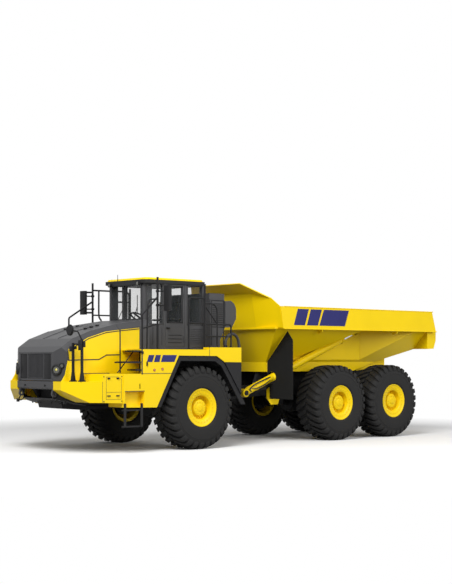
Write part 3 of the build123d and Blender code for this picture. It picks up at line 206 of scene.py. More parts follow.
seat_fabric, place = new_finish("seat_fabric")
thread_pitch = 120.0
weave = place.bands("Y", thread_pitch) * place.bands("DIAGONAL", thread_pitch)
coat_with(place, {
    "Base Color": weave.between((0.018, 0.018, 0.020, 1.0), (0.060, 0.060, 0.066, 1.0)),
    "Roughness": weave * 0.1 + 0.85,
    "Sheen Weight": 0.3,
    "Normal": weave.relief(0.4, 0.001),
})

finish_of_slot = {
    "yellow_paint": yellow_paint,
    "grey_paint": grey_paint,
    "black_paint": black_paint,
    "chrome_rod": chrome,
    "flap_rubber": flap_rubber,
    "tyre": flap_rubber,
    "dark_plastic": dark_plastic,
    "cab_glass": tinted_glass,
    "lamp_lens": lamp_lens,
    "tail_lens": tail_lens,
    "seat_fabric": seat_fabric,
}
for row in frame["record"]["subparts"]:
    node = frame["nodes"][row["node"]]
    node.data.materials.clear()
    node.data.materials.append(finish_of_slot[row["material_slot"]])


# ---- Tyres
# Radial earthmover tyres, black rubber moulded over a steel-belted carcass: a smooth rounded
# sidewall and two rows of deep slanting lugs that wrap over the shoulder. Each grips its rim.
tyre_rubber, place = new_finish("tyre_rubber")
worn = (place.noise(2.4, 6.0) * 1.5 - 0.3).held()
coat_with(place, {
    "Base Color": worn.between((0.010, 0.010, 0.010, 1.0), (0.020, 0.0195, 0.019, 1.0)),
    "Roughness": worn * 0.14 + 0.66,
    "Specular IOR Level": 0.2,
    "Normal": place.noise(140.0, 3.0).relief(0.22, 0.002),
})


def settle(bm, name, material, body, crease=32, join=True):
    """Ends a mesh: faces outwards, and the finished piece riding on its body. Doubles are merged, but
    where plates only touch, join=False keeps each of them closed."""
    if join:
        bmesh.ops.remove_doubles(bm, verts=bm.verts, dist=0.00005)
    bmesh.ops.recalc_face_normals(bm, faces=bm.faces)
    mesh = bpy.data.meshes.new(name)
    bm.to_mesh(mesh)
    bm.free()
    mesh.shade_smooth()
    mesh.set_sharp_from_angle(angle=radians(crease))
    mesh.materials.append(material)
    piece = bpy.data.objects.new(name, mesh)
    bpy.context.scene.collection.objects.link(piece)
    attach(piece, body)
    return piece


axle = Vector((0, 1, 0))
hub = Vector((0, 0, 0))


def ring_of(bm, outline, steps=96, closed=True):
    """Spins an outline of (y, radius) points about the wheel's axle into a ring."""
    verts = [bm.verts.new((0, y, r)) for y, r in outline]
    edges = [bm.edges.new((verts[i - 1], verts[i])) for i in range(0 if closed else 1, len(verts))]
    bmesh.ops.spin(bm, geom=verts + edges, cent=hub, axis=axle, angle=2 * pi, steps=steps, use_merge=True)


def spread_round(bm, geom, count):
    """Repeats this geometry evenly round the axle, count times in all."""
    bmesh.ops.spin(bm, geom=geom, cent=hub, axis=axle, angle=2 * pi * (count - 1) / count, steps=count - 1,
                   use_duplicate=True)


# Half sections as axial place and radius: the carcass, and one lug from the crown to the sidewall.
half_carcass = [
    (0.270, 0.388), (0.302, 0.396), (0.318, 0.404), (0.330, 0.428), (0.341, 0.440), (0.343, 0.470),
    (0.346, 0.500), (0.3475, 0.560), (0.3465, 0.610), (0.344, 0.650), (0.348, 0.654), (0.347, 0.668),
    (0.342, 0.672), (0.335, 0.720), (0.322, 0.765), (0.302, 0.800), (0.270, 0.817), (0.14, 0.822),
]
lug_outline = [
    (0.012, 0.812), (0.012, 0.866), (0.10, 0.873), (0.22, 0.872), (0.292, 0.861), (0.322, 0.836),
    (0.341, 0.790), (0.349, 0.735), (0.336, 0.722), (0.318, 0.760), (0.27, 0.805),
]
# The lugs: how wide the tyre is to each side, how many lugs a row has, how far one reaches round the
# crown, and how far its end runs ahead of its start.
tyre_half = 0.35
lug_count = 30
lug_turn = 0.135
lug_slant = 0.20
lug_narrowing = 0.3
lug_corner = radians(24)
tyre_bm = bmesh.new()
section = tyre_bm.faces.new([tyre_bm.verts.new((0, y, r)) for y, r in lug_outline])
bmesh.ops.spin(tyre_bm, geom=[section], cent=hub, axis=axle, angle=lug_turn, steps=2)
bmesh.ops.rotate(tyre_bm, cent=hub, matrix=Matrix.Rotation(-lug_turn / 2, 3, axle), verts=tyre_bm.verts)
for vert in tyre_bm.verts:
    across = vert.co.y / tyre_half
    narrowing = -lug_narrowing * (1 - across) * atan2(vert.co.x, vert.co.z)
    vert.co.rotate(Matrix.Rotation(narrowing + lug_slant * across, 3, axle))
bmesh.ops.recalc_face_normals(tyre_bm, faces=tyre_bm.faces)
corners = [edge for edge in tyre_bm.edges if edge.calc_face_angle(0) > lug_corner]
bmesh.ops.bevel(tyre_bm, geom=corners, offset=0.008, segments=1, profile=0.5, affect="EDGES", material=-1,
                clamp_overlap=True)
spread_round(tyre_bm, tyre_bm.verts[:] + tyre_bm.edges[:] + tyre_bm.faces[:], lug_count)
other_row = bmesh.ops.duplicate(tyre_bm, geom=tyre_bm.verts[:] + tyre_bm.edges[:] + tyre_bm.faces[:])["geom"]
other_verts = [part for part in other_row if isinstance(part, bmesh.types.BMVert)]
bmesh.ops.scale(tyre_bm, vec=(1, -1, 1), verts=other_verts)
bmesh.ops.rotate(tyre_bm, cent=hub, matrix=Matrix.Rotation(pi / lug_count, 3, axle), verts=other_verts)
ring_of(tyre_bm, half_carcass + [(-y, r) for y, r in reversed(half_carcass)])
wheels = [f"{station}_{hand}" for station in ("front", "centre", "rear") for hand in ("left", "right")]
wheel_place = {}
for wheel in wheels:
    low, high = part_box(f"rim_{wheel}")
    tyre_low, tyre_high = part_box(f"tyre_{wheel}")
    wheel_place[wheel] = Vector(((low.x + high.x) / 2, (tyre_low.y + tyre_high.y) / 2, (low.z + high.z) / 2))
    bm = tyre_bm.copy()
    bmesh.ops.translate(bm, vec=wheel_place[wheel], verts=bm.verts)
    tyre = settle(bm, f"lugged_tyre_{wheel}", tyre_rubber, f"wheel_{wheel}")
    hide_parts(f"tyre_{wheel}")
tyre_bm.free()
axle_x = wheel_place["front_left"].x


# ---- Wheels
# Steel rims painted yellow: a bead flange, a slope down to the bolted disc, and the planetary hub
# set deep in the middle inside its own ring of nuts. Each rim turns with its wheel.
rim_section = [
    (0.130, 0.0), (0.130, 0.190), (0.160, 0.332), (-0.300, 0.332), (-0.300, 0.402), (-0.312, 0.402),
    (-0.312, 0.392), (-0.290, 0.354), (0.296, 0.354), (0.302, 0.398), (0.314, 0.404), (0.322, 0.399),
    (0.322, 0.384), (0.315, 0.376), (0.304, 0.342), (0.296, 0.272), (0.286, 0.258), (0.170, 0.246),
    (0.156, 0.238), (0.156, 0.190), (0.236, 0.170), (0.248, 0.162), (0.2535, 0.150), (0.2535, 0.086),
    (0.260, 0.080), (0.263, 0.070), (0.263, 0.0),
]


def nut(bm, place, radius, height, sides=6):
    """A nut or bolt head whose foot is at place and which stands along +y, and all that it is made of."""
    verts = bmesh.ops.create_cone(bm, cap_ends=True, segments=sides, radius1=radius, radius2=radius * 0.93,
                                  depth=height)["verts"]
    stand = Matrix.Translation(Vector(place) + Vector((0, height / 2, 0))) @ Matrix.Rotation(-pi / 2, 4, "X")
    bmesh.ops.transform(bm, matrix=stand, verts=verts)
    return verts + list({e for v in verts for e in v.link_edges}) + list({f for v in verts for f in v.link_faces})


# Rings of fastenings: how many, radius of the ring, height of their seat, radius and height of each.
fastening_rings = [
    (24, 0.310, 0.300, 0.010, 0.012),
    (20, 0.214, 0.156, 0.015, 0.030),
    (12, 0.126, 0.2535, 0.009, 0.010),
    (6, 0.050, 0.263, 0.007, 0.008),
]
drain_plug = (0, 0.2535, 0.104)
valve = (0.05, 0.300, 0.335)
for wheel in wheels:
    bm = bmesh.new()
    ring_of(bm, rim_section, 72, closed=False)
    for count, ring, seat, radius, height in fastening_rings:
        washer = nut(bm, (0, seat, ring), radius * 1.4, height * 0.25, 14)
        head = nut(bm, (0, seat, ring), radius, height)
        spread_round(bm, washer + head, count)
    nut(bm, drain_plug, 0.012, 0.012)
    nut(bm, valve, 0.006, 0.040, 10)
    if wheel.endswith("right"):
        bmesh.ops.scale(bm, vec=(1, -1, 1), verts=bm.verts)
    bmesh.ops.translate(bm, vec=wheel_place[wheel], verts=bm.verts)
    rim = settle(bm, f"bolted_rim_{wheel}", yellow_paint, f"wheel_{wheel}")
    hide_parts(f"rim_{wheel}")


# ---- Wheel-arch liners
# Black moulded guards under the decks keep stones off the cab: a strip over the tyre and a wall
# inboard of it. They are bolted to the deck's underside, and the arch bands have cap screws.
def slab(bm, corners, push):
    """A flat plate through these corners, as thick as push reaches."""
    face = bm.faces.new([bm.verts.new(corner) for corner in corners])
    made = bmesh.ops.extrude_face_region(bm, geom=[face])["geom"]
    bmesh.ops.translate(bm, vec=push, verts=[part for part in made if isinstance(part, bmesh.types.BMVert)])


def both_sides(bm):
    """Mirrors everything made so far to the truck's right."""
    made = bmesh.ops.duplicate(bm, geom=bm.verts[:] + bm.edges[:] + bm.faces[:])["geom"]
    bmesh.ops.scale(bm, vec=(1, -1, 1), verts=[part for part in made if isinstance(part, bmesh.types.BMVert)])


def at(x, y, z):
    """A point, with x measured forward of the front axle."""
    return Vector((axle_x + x, y, z))


def band(bm, points, push, drop):
    """A folded strip along these points, pushed sideways, its thickness laid along drop."""
    for start, end in zip(points, points[1:]):
        slab(bm, [start, end, end + Vector(push), start + Vector(push)], drop)


liner_inboard = 0.915
liner_width = 0.625
# The liner's line over the tyre, forward of the axle and height.
liner_line = [
    (0.98, 1.16), (0.86, 1.42), (0.66, 1.74), (0.54, 1.90), (0.30, 1.935), (-0.30, 1.93),
    (-0.46, 1.88), (-0.66, 1.74), (-0.86, 1.46), (-1.00, 1.25),
]
bm = bmesh.new()
band(bm, [at(x, liner_inboard, z) for x, z in liner_line], (0, liner_width, 0), (0, 0, 0.012))
wall_line = [(0.86, 1.36)] + liner_line[1:9] + [(-0.86, 1.36)]
slab(bm, [at(x, liner_inboard, z) for x, z in wall_line], (0, 0.010, 0))
for x, z in liner_line[1:9]:
    for y in (1.05, 1.38):
        bmesh.ops.create_cone(bm, cap_ends=True, segments=8, radius1=0.016, radius2=0.012, depth=0.012,
                              matrix=Matrix.Translation(at(x, y, z - 0.006)))
both_sides(bm)
settle(bm, "arch_liners", dark_plastic, "front_unit", join=False)


# ---- Bed stripes, welds and stiffeners
# Blue film stripes on the bed's rails and on the deck sides. Weld beads run along the rails' edges,
# and short stiffeners hold up their overhang. All but the deck stripes tip with the bed.
stripe_film, place = new_finish("blue_film")
coat_with(place, {
    "Base Color": place.noise(4.0, 2.0).between((0.013, 0.014, 0.105, 1.0), (0.019, 0.020, 0.140, 1.0)),
    "Roughness": place.noise(20.0, 3.0) * 0.1 + 0.4,
    "Specular IOR Level": 0.2,
})
film_thickness = 0.003
rail_side = 1.600
rail_stripe_z = (3.027, 2.658)
# Stripe corners forward of the axle: top front, top rear, bottom rear, bottom front.
rail_stripes = [
    (-2.876, -3.230, -3.101, -2.748),
    (-3.295, -3.657, -3.525, -3.165),
    (-3.724, -4.573, -4.434, -3.574),
]


def stripes(bm, table, heights, y):
    """Flat stripes on a side at y, from this table of corners, between a top and a foot."""
    top, foot = heights
    for top_front, top_rear, low_rear, low_front in table:
        corners = [(top_front, top), (top_rear, top), (low_rear, foot), (low_front, foot)]
        slab(bm, [at(x, y, z) for x, z in corners], (0, film_thickness, 0))


bm = bmesh.new()
stripes(bm, rail_stripes, rail_stripe_z, rail_side)
both_sides(bm)
settle(bm, "rail_stripes", stripe_film, "dump_bed")

deck_stripe_z = (1.979, 1.837)
deck_stripes = [
    (1.392, 1.250, 1.302, 1.443),
    (1.211, 1.081, 1.120, 1.263),
    (1.029, 0.659, 0.725, 1.081),
]
bm = bmesh.new()
stripes(bm, deck_stripes, deck_stripe_z, rail_side)
both_sides(bm)
settle(bm, "deck_stripes", stripe_film, "front_unit")


def rod(bm, start, end, radius, sides=10):
    """A round rod or bead from one point to another."""
    run = Vector(end) - Vector(start)
    lay = Matrix.Translation((Vector(start) + Vector(end)) / 2) @ run.to_track_quat("Z", "Y").to_matrix().to_4x4()
    bmesh.ops.create_cone(bm, cap_ends=True, segments=sides, radius1=radius, radius2=radius,
                          depth=run.length, matrix=lay)


bm = bmesh.new()
weld = 0.010
weld_y = 1.598
for z, tail_x in ((2.574, -7.85), (3.072, -7.70)):
    rod(bm, at(-2.45, weld_y, z), at(tail_x, weld_y, z), weld, 8)
for x in (-3.70, -6.35):
    slab(bm, [at(x, 1.590, 2.578), at(x, 1.590, 2.520), at(x, 1.45, 2.47), at(x, 1.42, 2.578)], (0.020, 0, 0))
tail_web = [(-5.90, 1.66), (-6.96, 1.95), (-6.96, 1.74), (-6.85, 1.70), (-5.90, 1.60)]
slab(bm, [at(x, 0.60, z) for x, z in tail_web], (0, 0.03, 0))
both_sides(bm)
settle(bm, "bed_welds", yellow_paint, "dump_bed", join=False)


# ---- Panel seals and a painted shade line
# Rubber seals and shut lines between the tilting panels, fixed panels, boxes and decks: black
# strips pressed into the gaps, a few millimetres proud of the paint. One black strip over the ladder
# is painted shade: the dark line under the lip of the step recess.
seal_rubber, place = new_finish("seal_rubber")
coat_with(place, {
    "Base Color": place.noise(9.0, 4.0).between((0.010, 0.010, 0.010, 1.0), (0.020, 0.020, 0.021, 1.0)),
    "Roughness": place.noise(60.0, 2.0) * 0.2 + 0.55,
    "Normal": place.noise(220.0, 2.0).relief(0.2, 0.001),
})
panel_side = 0.935
box_side = 1.580
# Seals, and one painted shade line: which side plate they lie on, width, then their points forward of the axle and
# height.
seals_and_painted_shade = [
    (panel_side, 0.022, [(2.890, 1.874), (2.150, 1.889), (1.960, 1.979), (1.624, 1.984)]),
    (panel_side, 0.030, [(1.620, 1.62), (1.620, 2.498)]),
    (panel_side, 0.018, [(1.600, 2.478), (1.130, 2.524)]),
    (panel_side, 0.016, [(2.620, 1.470), (2.570, 1.604), (1.90, 1.608)]),
    (rail_side, 0.030, [(1.566, 1.60), (1.566, 2.094)]),
    (rail_side, 0.010, [(1.570, 1.604), (0.806, 1.604)]),
    (rail_side, 0.008, [(-0.235, 2.140), (-0.235, 1.966)]),
    (box_side, 0.004, [(2.440, 1.10), (2.070, 1.10), (2.070, 1.50), (2.160, 1.545), (2.440, 1.545),
                       (2.440, 1.10)]),
    (box_side, 0.004, [(2.440, 1.24), (2.070, 1.24)]),
    (box_side, 0.005, [(2.531, 1.04), (2.531, 1.450)]),
    # Painted shade: a black strip for the dark line under the lip of the step recess above the ladder.
    (rail_side, 0.014, [(1.99, 1.252), (1.51, 1.252)]),
]


def seal_along(bm, y, width, points):
    """A flat black strip on a side at y, along these points: a rubber seal, or a painted shade line."""
    for (x0, z0), (x1, z1) in zip(points, points[1:]):
        run = Vector((x1 - x0, 0, z1 - z0)).normalized() * width / 2
        off = Vector((-run.z, 0, run.x))
        start = at(x0, y, z0) - run * 0.9
        end = at(x1, y, z1) + run * 0.9
        slab(bm, [start - off, end - off, end + off, start + off], (0, 0.004, 0))


bm = bmesh.new()
for y, width, points in seals_and_painted_shade:
    seal_along(bm, y, width, points)
both_sides(bm)
settle(bm, "panel_seals_and_painted_shade", seal_rubber, "front_unit", join=False)
bm = bmesh.new()
seal_along(bm, panel_side, 0.018, [(2.850, 2.090), (2.397, 2.310), (1.974, 2.434), (1.645, 2.474)])
both_sides(bm)
settle(bm, "lid_seals", seal_rubber, "hood_lid", join=False)


# ---- Body fittings
# Latches, hinges, reflectors and cap screws in steel, screwed to the tool boxes, decks and panels.
def block(bm, centre, size, bevel=0.0):
    """A box with slightly rounded edges."""
    lay = Matrix.Translation(centre) @ Matrix.Diagonal((*size, 1.0))
    verts = bmesh.ops.create_cube(bm, size=1.0, matrix=lay)["verts"]
    if bevel:
        edges = list({e for v in verts for e in v.link_edges})
        bmesh.ops.bevel(bm, geom=edges, offset=bevel, segments=2, profile=0.5, affect="EDGES", material=-1)


bm = bmesh.new()
for x in (2.16, 2.38):
    block(bm, at(x, box_side + 0.008, 1.515), (0.060, 0.018, 0.030), 0.004)
    block(bm, at(x, box_side + 0.008, 1.170), (0.080, 0.014, 0.022), 0.004)
block(bm, at(1.62, box_side + 0.010, 1.35), (0.030, 0.020, 0.110), 0.004)
block(bm, at(1.44, rail_side + 0.008, 1.80), (0.028, 0.018, 0.090), 0.004)
block(bm, at(1.566, rail_side + 0.010, 2.03), (0.060, 0.022, 0.050), 0.004)
both_sides(bm)
settle(bm, "body_latches", black_paint, "front_unit")

bm = bmesh.new()
arch_side = 1.575
screws = [
    (x, arch_side, z) for x, z in ((1.09, 1.00), (0.95, 1.25), (0.78, 1.56), (0.60, 1.88), (0.30, 1.905),
                               (-0.20, 1.90), (-0.48, 1.87), (-0.74, 1.66), (-0.92, 1.40))
] + [
    (x, box_side, z) for x in (2.06, 2.50) for z in (1.06, 1.55)
]
for x, y, z in screws:
    nut(bm, at(x, y, z), 0.013, 0.008)
both_sides(bm)
settle(bm, "skirt_screws", black_paint, "front_unit")

bm = bmesh.new()
for x, z in ((1.250, 1.674), (1.042, 1.693)):
    nut(bm, at(x, rail_side, z), 0.030, 0.010, 24)
both_sides(bm)
reflector = lens("amber_reflector", (0.55, 0.14, 0.01, 1.0), (0.25, 0.05, 0.005, 1.0), "X", 40.0)
settle(bm, "side_reflectors", reflector, "front_unit")


# ---- Hood fittings
# Grey steel hood. A frame and a wire screen finish the grille, ribs and lifting lugs stand on the
# crest, and dark bezels hold the headlamps and their bulbs, whose yellow is a painted reflection of
# the yellow bodywork. All of it tilts with the hood.
mask_x = 3.052
grille_x = 3.046
grille_z = 1.750
slat_pitch = 0.044
slat_count = 13
bm = bmesh.new()
for way in (-1, 1):
    block(bm, at(mask_x, 0.575 * way, grille_z), (0.014, 0.026, 0.550), 0.004)
    block(bm, at(mask_x, 0, grille_z + 0.268 * way), (0.014, 1.176, 0.026), 0.004)
    block(bm, at(grille_x, 0.30 * way, grille_z), (0.018, 0.022, 0.520), 0.004)
    rod(bm, at(2.690, 0.27 * way, 2.318), at(2.210, 0.27 * way, 2.482), 0.010, 8)
    rod(bm, at(2.210, 0.27 * way, 2.482), at(1.700, 0.27 * way, 2.603), 0.010, 8)
    rod(bm, at(2.690, 0.79 * way, 2.308), at(2.215, 0.79 * way, 2.476), 0.008, 8)
for i in range(slat_count):
    block(bm, at(grille_x, (i - slat_count // 2) * slat_pitch, grille_z), (0.014, 0.012, 0.500))
settle(bm, "grille_frame", grey_paint, "hood_lid", join=False)

bm = bmesh.new()
screen = [(-0.56, 1.50), (0.56, 1.50), (0.56, 2.0), (-0.56, 2.0)]
slab(bm, [at(2.978, y, z) for y, z in screen], (-0.006, 0, 0))
for i in range(12):
    z = 1.52 + i * 0.042
    rod(bm, at(2.982, -0.55, z), at(2.982, 0.55, z), 0.004, 5)
crest_slope = 0.2373
for way in (1, -1):
    block(bm, at(grille_x, 0.432 * way, grille_z), (0.010, 0.230, 0.500), 0.003)
    for x in (2.08, 1.93, 1.78):
        block(bm, at(x, 0.36 * way, 2.494 + (2.210 - x) * crest_slope), (0.070, 0.050, 0.036), 0.008)
settle(bm, "radiator_screen", black_paint, "hood_lid")


def turned(bm, outline, centre, facing, steps=28):
    """Spins an open outline of (height, radius) points that starts and ends on the axis, or is a closed
    ring, about an axis through centre that faces this way."""
    old = set(bm.verts)
    ring_of(bm, outline, steps, closed=outline[0][1] > 0.0)
    lay = Matrix.Translation(centre) @ Vector(facing).to_track_quat("Y", "Z").to_matrix().to_4x4()
    bmesh.ops.transform(bm, matrix=lay, verts=[v for v in bm.verts if v not in old])


corner_facing = Vector((0.877, 0.480, 0.0))
headlamp = at(3.0167, 0.710, 1.683)
small_lamp = at(2.9609, 0.812, 1.765)
bezel = [(-0.01, 0.070), (0.034, 0.072), (0.046, 0.080), (0.044, 0.098), (0.030, 0.112), (-0.01, 0.116)]
small_bezel = [(h * 0.8, r * 0.5) for h, r in bezel]
bm = bmesh.new()
turned(bm, bezel, headlamp, corner_facing)
turned(bm, small_bezel, small_lamp, corner_facing)
both_sides(bm)
settle(bm, "lamp_bezels", dark_plastic, "hood_lid")
# The bulbs' yellow is a painted reflection of the yellow bodywork in the headlamps, not the bulbs' own colour.
bulb_painted_reflection = lens("bulb_painted_reflection", (0.80, 0.72, 0.10, 1.0), (0.45, 0.38, 0.03, 1.0), "Z", 30.0)
bm = bmesh.new()
bulb = [(0.036, 0.0), (0.034, 0.014), (0.026, 0.024), (0.022, 0.024), (0.022, 0.0)]
turned(bm, bulb, headlamp, corner_facing, 20)
both_sides(bm)
settle(bm, "lamp_bulbs_painted_reflection", bulb_painted_reflection, "hood_lid")


# ---- Bumper and tow fittings
# Cast steel bumper. Cap screws and pin caps hold it to the frame, a bent belly guard is bolted up
# under the nose, and on each side a short hose loops out below between its clamps.
def hose(bm, points, radius, sides=12, steps=5):
    """A round hose bent smoothly through these points, closed at its ends."""
    points = [Vector(p) for p in points]
    ends = [points[0] * 2 - points[1]] + points + [points[-1] * 2 - points[-2]]
    path = []
    for a, b, c, d in zip(ends, ends[1:], ends[2:], ends[3:]):
        for i in range(steps):
            t = i / steps
            path.append((b * 2 + (c - a) * t + (a * 2 - b * 5 + c * 4 - d) * t ** 2
                         + (b * 3 - a - c * 3 + d) * t ** 3) / 2)
    path.append(points[-1])
    heading = (path[1] - path[0]).normalized()
    start = Matrix.Translation(path[0]) @ heading.to_track_quat("Z", "Y").to_matrix().to_4x4()
    verts = bmesh.ops.create_circle(bm, cap_ends=False, radius=radius, segments=sides, matrix=start)["verts"]
    ring = list({edge for vert in verts for edge in vert.link_edges})
    bmesh.ops.contextual_create(bm, geom=ring)
    for i in range(1, len(path)):
        ahead = (path[min(i + 1, len(path) - 1)] - path[i - 1]).normalized()
        made = bmesh.ops.extrude_edge_only(bm, edges=ring)["geom"]
        verts = [part for part in made if isinstance(part, bmesh.types.BMVert)]
        ring = [part for part in made if isinstance(part, bmesh.types.BMEdge)]
        ring = [edge for edge in ring if edge.verts[0] in verts and edge.verts[1] in verts]
        bend = heading.rotation_difference(ahead).to_matrix().to_4x4()
        bmesh.ops.transform(bm, matrix=Matrix.Translation(path[i]) @ bend @ Matrix.Translation(-path[i - 1]),
                            verts=verts)
        heading = ahead
    bmesh.ops.contextual_create(bm, geom=ring)


def bolt(bm, foot, facing, radius, height, sides=6):
    """A bolt head or cap whose foot is at this point and which stands this way."""
    foot = Vector(foot)
    rod(bm, foot, foot + Vector(facing).normalized() * height, radius, sides)


bm = bmesh.new()
ahead = (1, 0, 0)
bolt(bm, at(3.070, 0.366, 1.365), ahead, 0.022, 0.008, 16)
bolt(bm, at(3.078, 0.366, 1.365), ahead, 0.013, 0.008)
for y, z in ((0.57, 1.16), (0.57, 1.24), (0.63, 1.24)):
    bolt(bm, at(3.045, y, z), ahead, 0.009, 0.008)
block(bm, at(2.93, 0.86, 1.040), (0.050, 0.050, 0.070), 0.006)
both_sides(bm)
settle(bm, "bumper_bolts", black_paint, "front_unit")

bm = bmesh.new()
# The guard's edge, from the nose back: forward of the axle, half width and height.
guard = [(2.99, 0.560, 1.100), (2.74, 0.800, 1.035), (2.42, 0.900, 0.960), (1.90, 0.900, 0.935)]
plate = 0.012
flange = 0.10
for (x0, y0, z0), (x1, y1, z1) in zip(guard, guard[1:]):
    slab(bm, [at(x0, -y0, z0), at(x0, y0, z0), at(x1, y1, z1), at(x1, -y1, z1)], (0, 0, plate))
    for way in (1, -1):
        start, end = at(x0, y0 * way, z0), at(x1, y1 * way, z1)
        rise = Vector((0, 0, flange))
        slab(bm, [start, end, end + rise, start + rise], (0, -plate * way, 0))
for x in (2.80, 2.50, 2.10):
    for y in (-0.50, -0.20, 0.20, 0.50):
        bolt(bm, at(x, y, 1.020 - (2.80 - x) * 0.12), (0, 0, -1), 0.014, 0.030)
nose_hose = [(3.02, 0.60, 1.16), (3.05, 0.62, 1.09), (3.02, 0.64, 1.05), (2.96, 0.63, 1.07), (2.94, 0.60, 1.14)]
for way in (1, -1):
    hose(bm, [at(x, y * way, z) for x, y, z in nose_hose], 0.012, 10)
settle(bm, "belly_guard", black_paint, "front_unit", join=False)


# ---- Marker posts, ladder and handrails
# Black tube and plate. Feet and clamps are bolted down, treads have punched grips that stand up, a
# thin rod braces the stair, and bent tubes make the guard rails beside the cab.
bm = bmesh.new()
for x, y, z in ((2.86, 1.05, 1.450), (2.76, 1.21, 1.450)):
    block(bm, at(x, y, z + 0.008), (0.130, 0.100, 0.016), 0.004)
    for dx in (-0.048, 0.048):
        for dy in (-0.034, 0.034):
            bolt(bm, at(x + dx, y + dy, z + 0.016), (0, 0, 1), 0.010, 0.010)
for x, y, z, tall in ((2.86, 1.05, 2.10, 0.10), (2.76, 1.21, 2.17, 0.20)):
    block(bm, at(x + 0.034, y - 0.012, z), (0.050, 0.082, tall), 0.008)
    block(bm, at(x - 0.026, y + 0.034, z + 0.02), (0.050, 0.046, tall * 0.6), 0.008)
    block(bm, at(x + 0.064, y + 0.010, z - 0.03), (0.030, 0.052, 0.050), 0.006)
round_mirror = at(2.998, 1.160, 2.466)
mirror_rim = [(-0.004, 0.106), (-0.010, 0.100), (0.012, 0.098), (0.022, 0.104), (0.020, 0.110), (0.004, 0.112)]
turned(bm, mirror_rim, round_mirror, ahead, 36)
settle(bm, "post_brackets", black_paint, "front_unit")

bm = bmesh.new()
rod(bm, at(1.60, 1.34, 2.04), at(2.06, 1.44, 1.62), 0.011, 10)
# Grips on each tread: its height and how many rows it has.
for z, rows in ((2.070, 4), (1.845, 10), (1.690, 2)):
    for i in range(rows):
        for j in range(6):
            bolt(bm, at(1.600 + i * 0.044, 1.335 + j * 0.046, z), (0, 0, 1), 0.013, 0.006, 8)
both_sides(bm)
for z in (0.560, 0.889):
    for i in range(9):
        bolt(bm, at(1.60 + i * 0.047, 1.565, z), (0, 0, 1), 0.014, 0.006, 8)
for x in (1.58, 2.00):
    for z in (0.96, 1.00):
        bolt(bm, at(x, 1.614, z), (0, 1, 0), 0.012, 0.008)
    block(bm, at(x, 1.606, 0.62), (0.030, 0.010, 0.012), 0.002)
settle(bm, "tread_grips", black_paint, "front_unit")

bm = bmesh.new()
rail_y = 1.316
deck_top = 2.095
rear_deck_top = 2.143
# The foremost post stands further forward on the left.
for way, fore in ((1, 0.94), (-1, 0.70)):
    y = rail_y * way
    for x in (fore, 0.10, -0.348, 1.34, -1.10):
        low = rear_deck_top if x in (-0.348, -1.10) else deck_top
        bolt(bm, at(x, y, low), (0, 0, 1), 0.052, 0.010, 20)
        for k in (-1, 1):
            bolt(bm, at(x + 0.036 * k, y, low + 0.010), (0, 0, 1), 0.008, 0.008)
    rod(bm, at(fore, y, 2.62), at(1.34, y, 2.52), 0.016, 12)
    rod(bm, at(0.10, y, 2.66), at(-0.348, y, 2.66), 0.016, 12)
    rod(bm, at(-0.348, y, 2.38), at(-1.10, y, 2.38), 0.016, 12)
    for z in (3.010, 3.300):
        bolt(bm, at(fore, y - 0.030 * way, z), (0, way, 0), 0.028, 0.060, 16)
# Bent tubes: side, radius, then their bends forward of the axle and height.
rail_tubes = (
    (-1, 0.019, [(0.70, 3.43), (0.10, 3.43), (-0.20, 3.43), (-0.30, 3.39), (-0.315, 3.29), (-0.315, 3.00),
                 (-0.315, 2.10)]),
    (-1, 0.019, [(0.53, 3.43), (0.53, 2.90), (0.50, 2.80), (0.46, 2.70), (0.45, 2.10)]),
    (1, 0.017, [(0.94, 3.13), (1.10, 3.125), (1.16, 3.08), (1.20, 2.90), (1.22, 2.10)]),
    (1, 0.017, [(-0.348, 3.08), (-0.56, 3.08), (-0.66, 3.02), (-0.70, 2.85), (-0.70, 2.145)]),
)
for way, radius, bends in rail_tubes:
    hose(bm, [at(x, rail_y * way, z) for x, z in bends], radius, 12)
rod(bm, at(0.70, -rail_y, 2.875), at(0.10, -rail_y, 2.875), 0.016, 12)
rod(bm, at(-0.36, rail_y, 3.02), at(-0.69, rail_y, 2.66), 0.014, 12)
for z in (2.930, 3.385):
    rod(bm, at(0.82, -1.430, z), at(0.70, -rail_y, z), 0.020, 12)
settle(bm, "rail_clamps", black_paint, "front_unit")


# ---- Mirrors
# Silvered glass in a black shell, held by a rubber lip: the two big door mirrors face back, and so
# does the small round one on the marker post.
mirror_glass, place = new_finish("mirror_glass")
coat_with(place, {
    "Base Color": (0.72, 0.75, 0.77, 1.0),
    "Metallic": 1.0,
    "Roughness": place.noise(30.0, 2.0) * 0.03 + 0.02,
})
bm = bmesh.new()
shell_back = 0.777
glass_half = 0.068
for y in (1.500, -1.500):
    inner, outer = y - glass_half, y + glass_half
    for low, high in ((2.925, 3.205), (3.225, 3.385)):
        slab(bm, [at(shell_back, inner, low), at(shell_back, outer, low), at(shell_back, outer, high),
                  at(shell_back, inner, high)], (-0.005, 0, 0))
turned(bm, [(-0.008, 0.0), (-0.008, 0.092), (-0.001, 0.098), (-0.001, 0.0)], round_mirror, ahead, 36)
settle(bm, "mirror_faces", mirror_glass, "front_unit")


# ---- Cab trim
# Black rubber gaskets round the glass, a gutter under the roof, wipers, a door handle, roof lamps
# and a short aerial. Lower panels have pressed ribs and louvres. The door's trim swings with it.
def window_lip(bm, corners, outward, width=0.026, proud=0.006):
    """A flat rubber lip round a window whose corners go round in order."""
    corners = [Vector(corner) for corner in corners]
    for i, start in enumerate(corners):
        end = corners[(i + 1) % len(corners)]
        run = (end - start).normalized() * width / 2
        off = run.cross(Vector(outward)).normalized() * width / 2
        slab(bm, [start - off - run, end - off + run, end + off + run, start + off - run],
             Vector(outward).normalized() * proud)


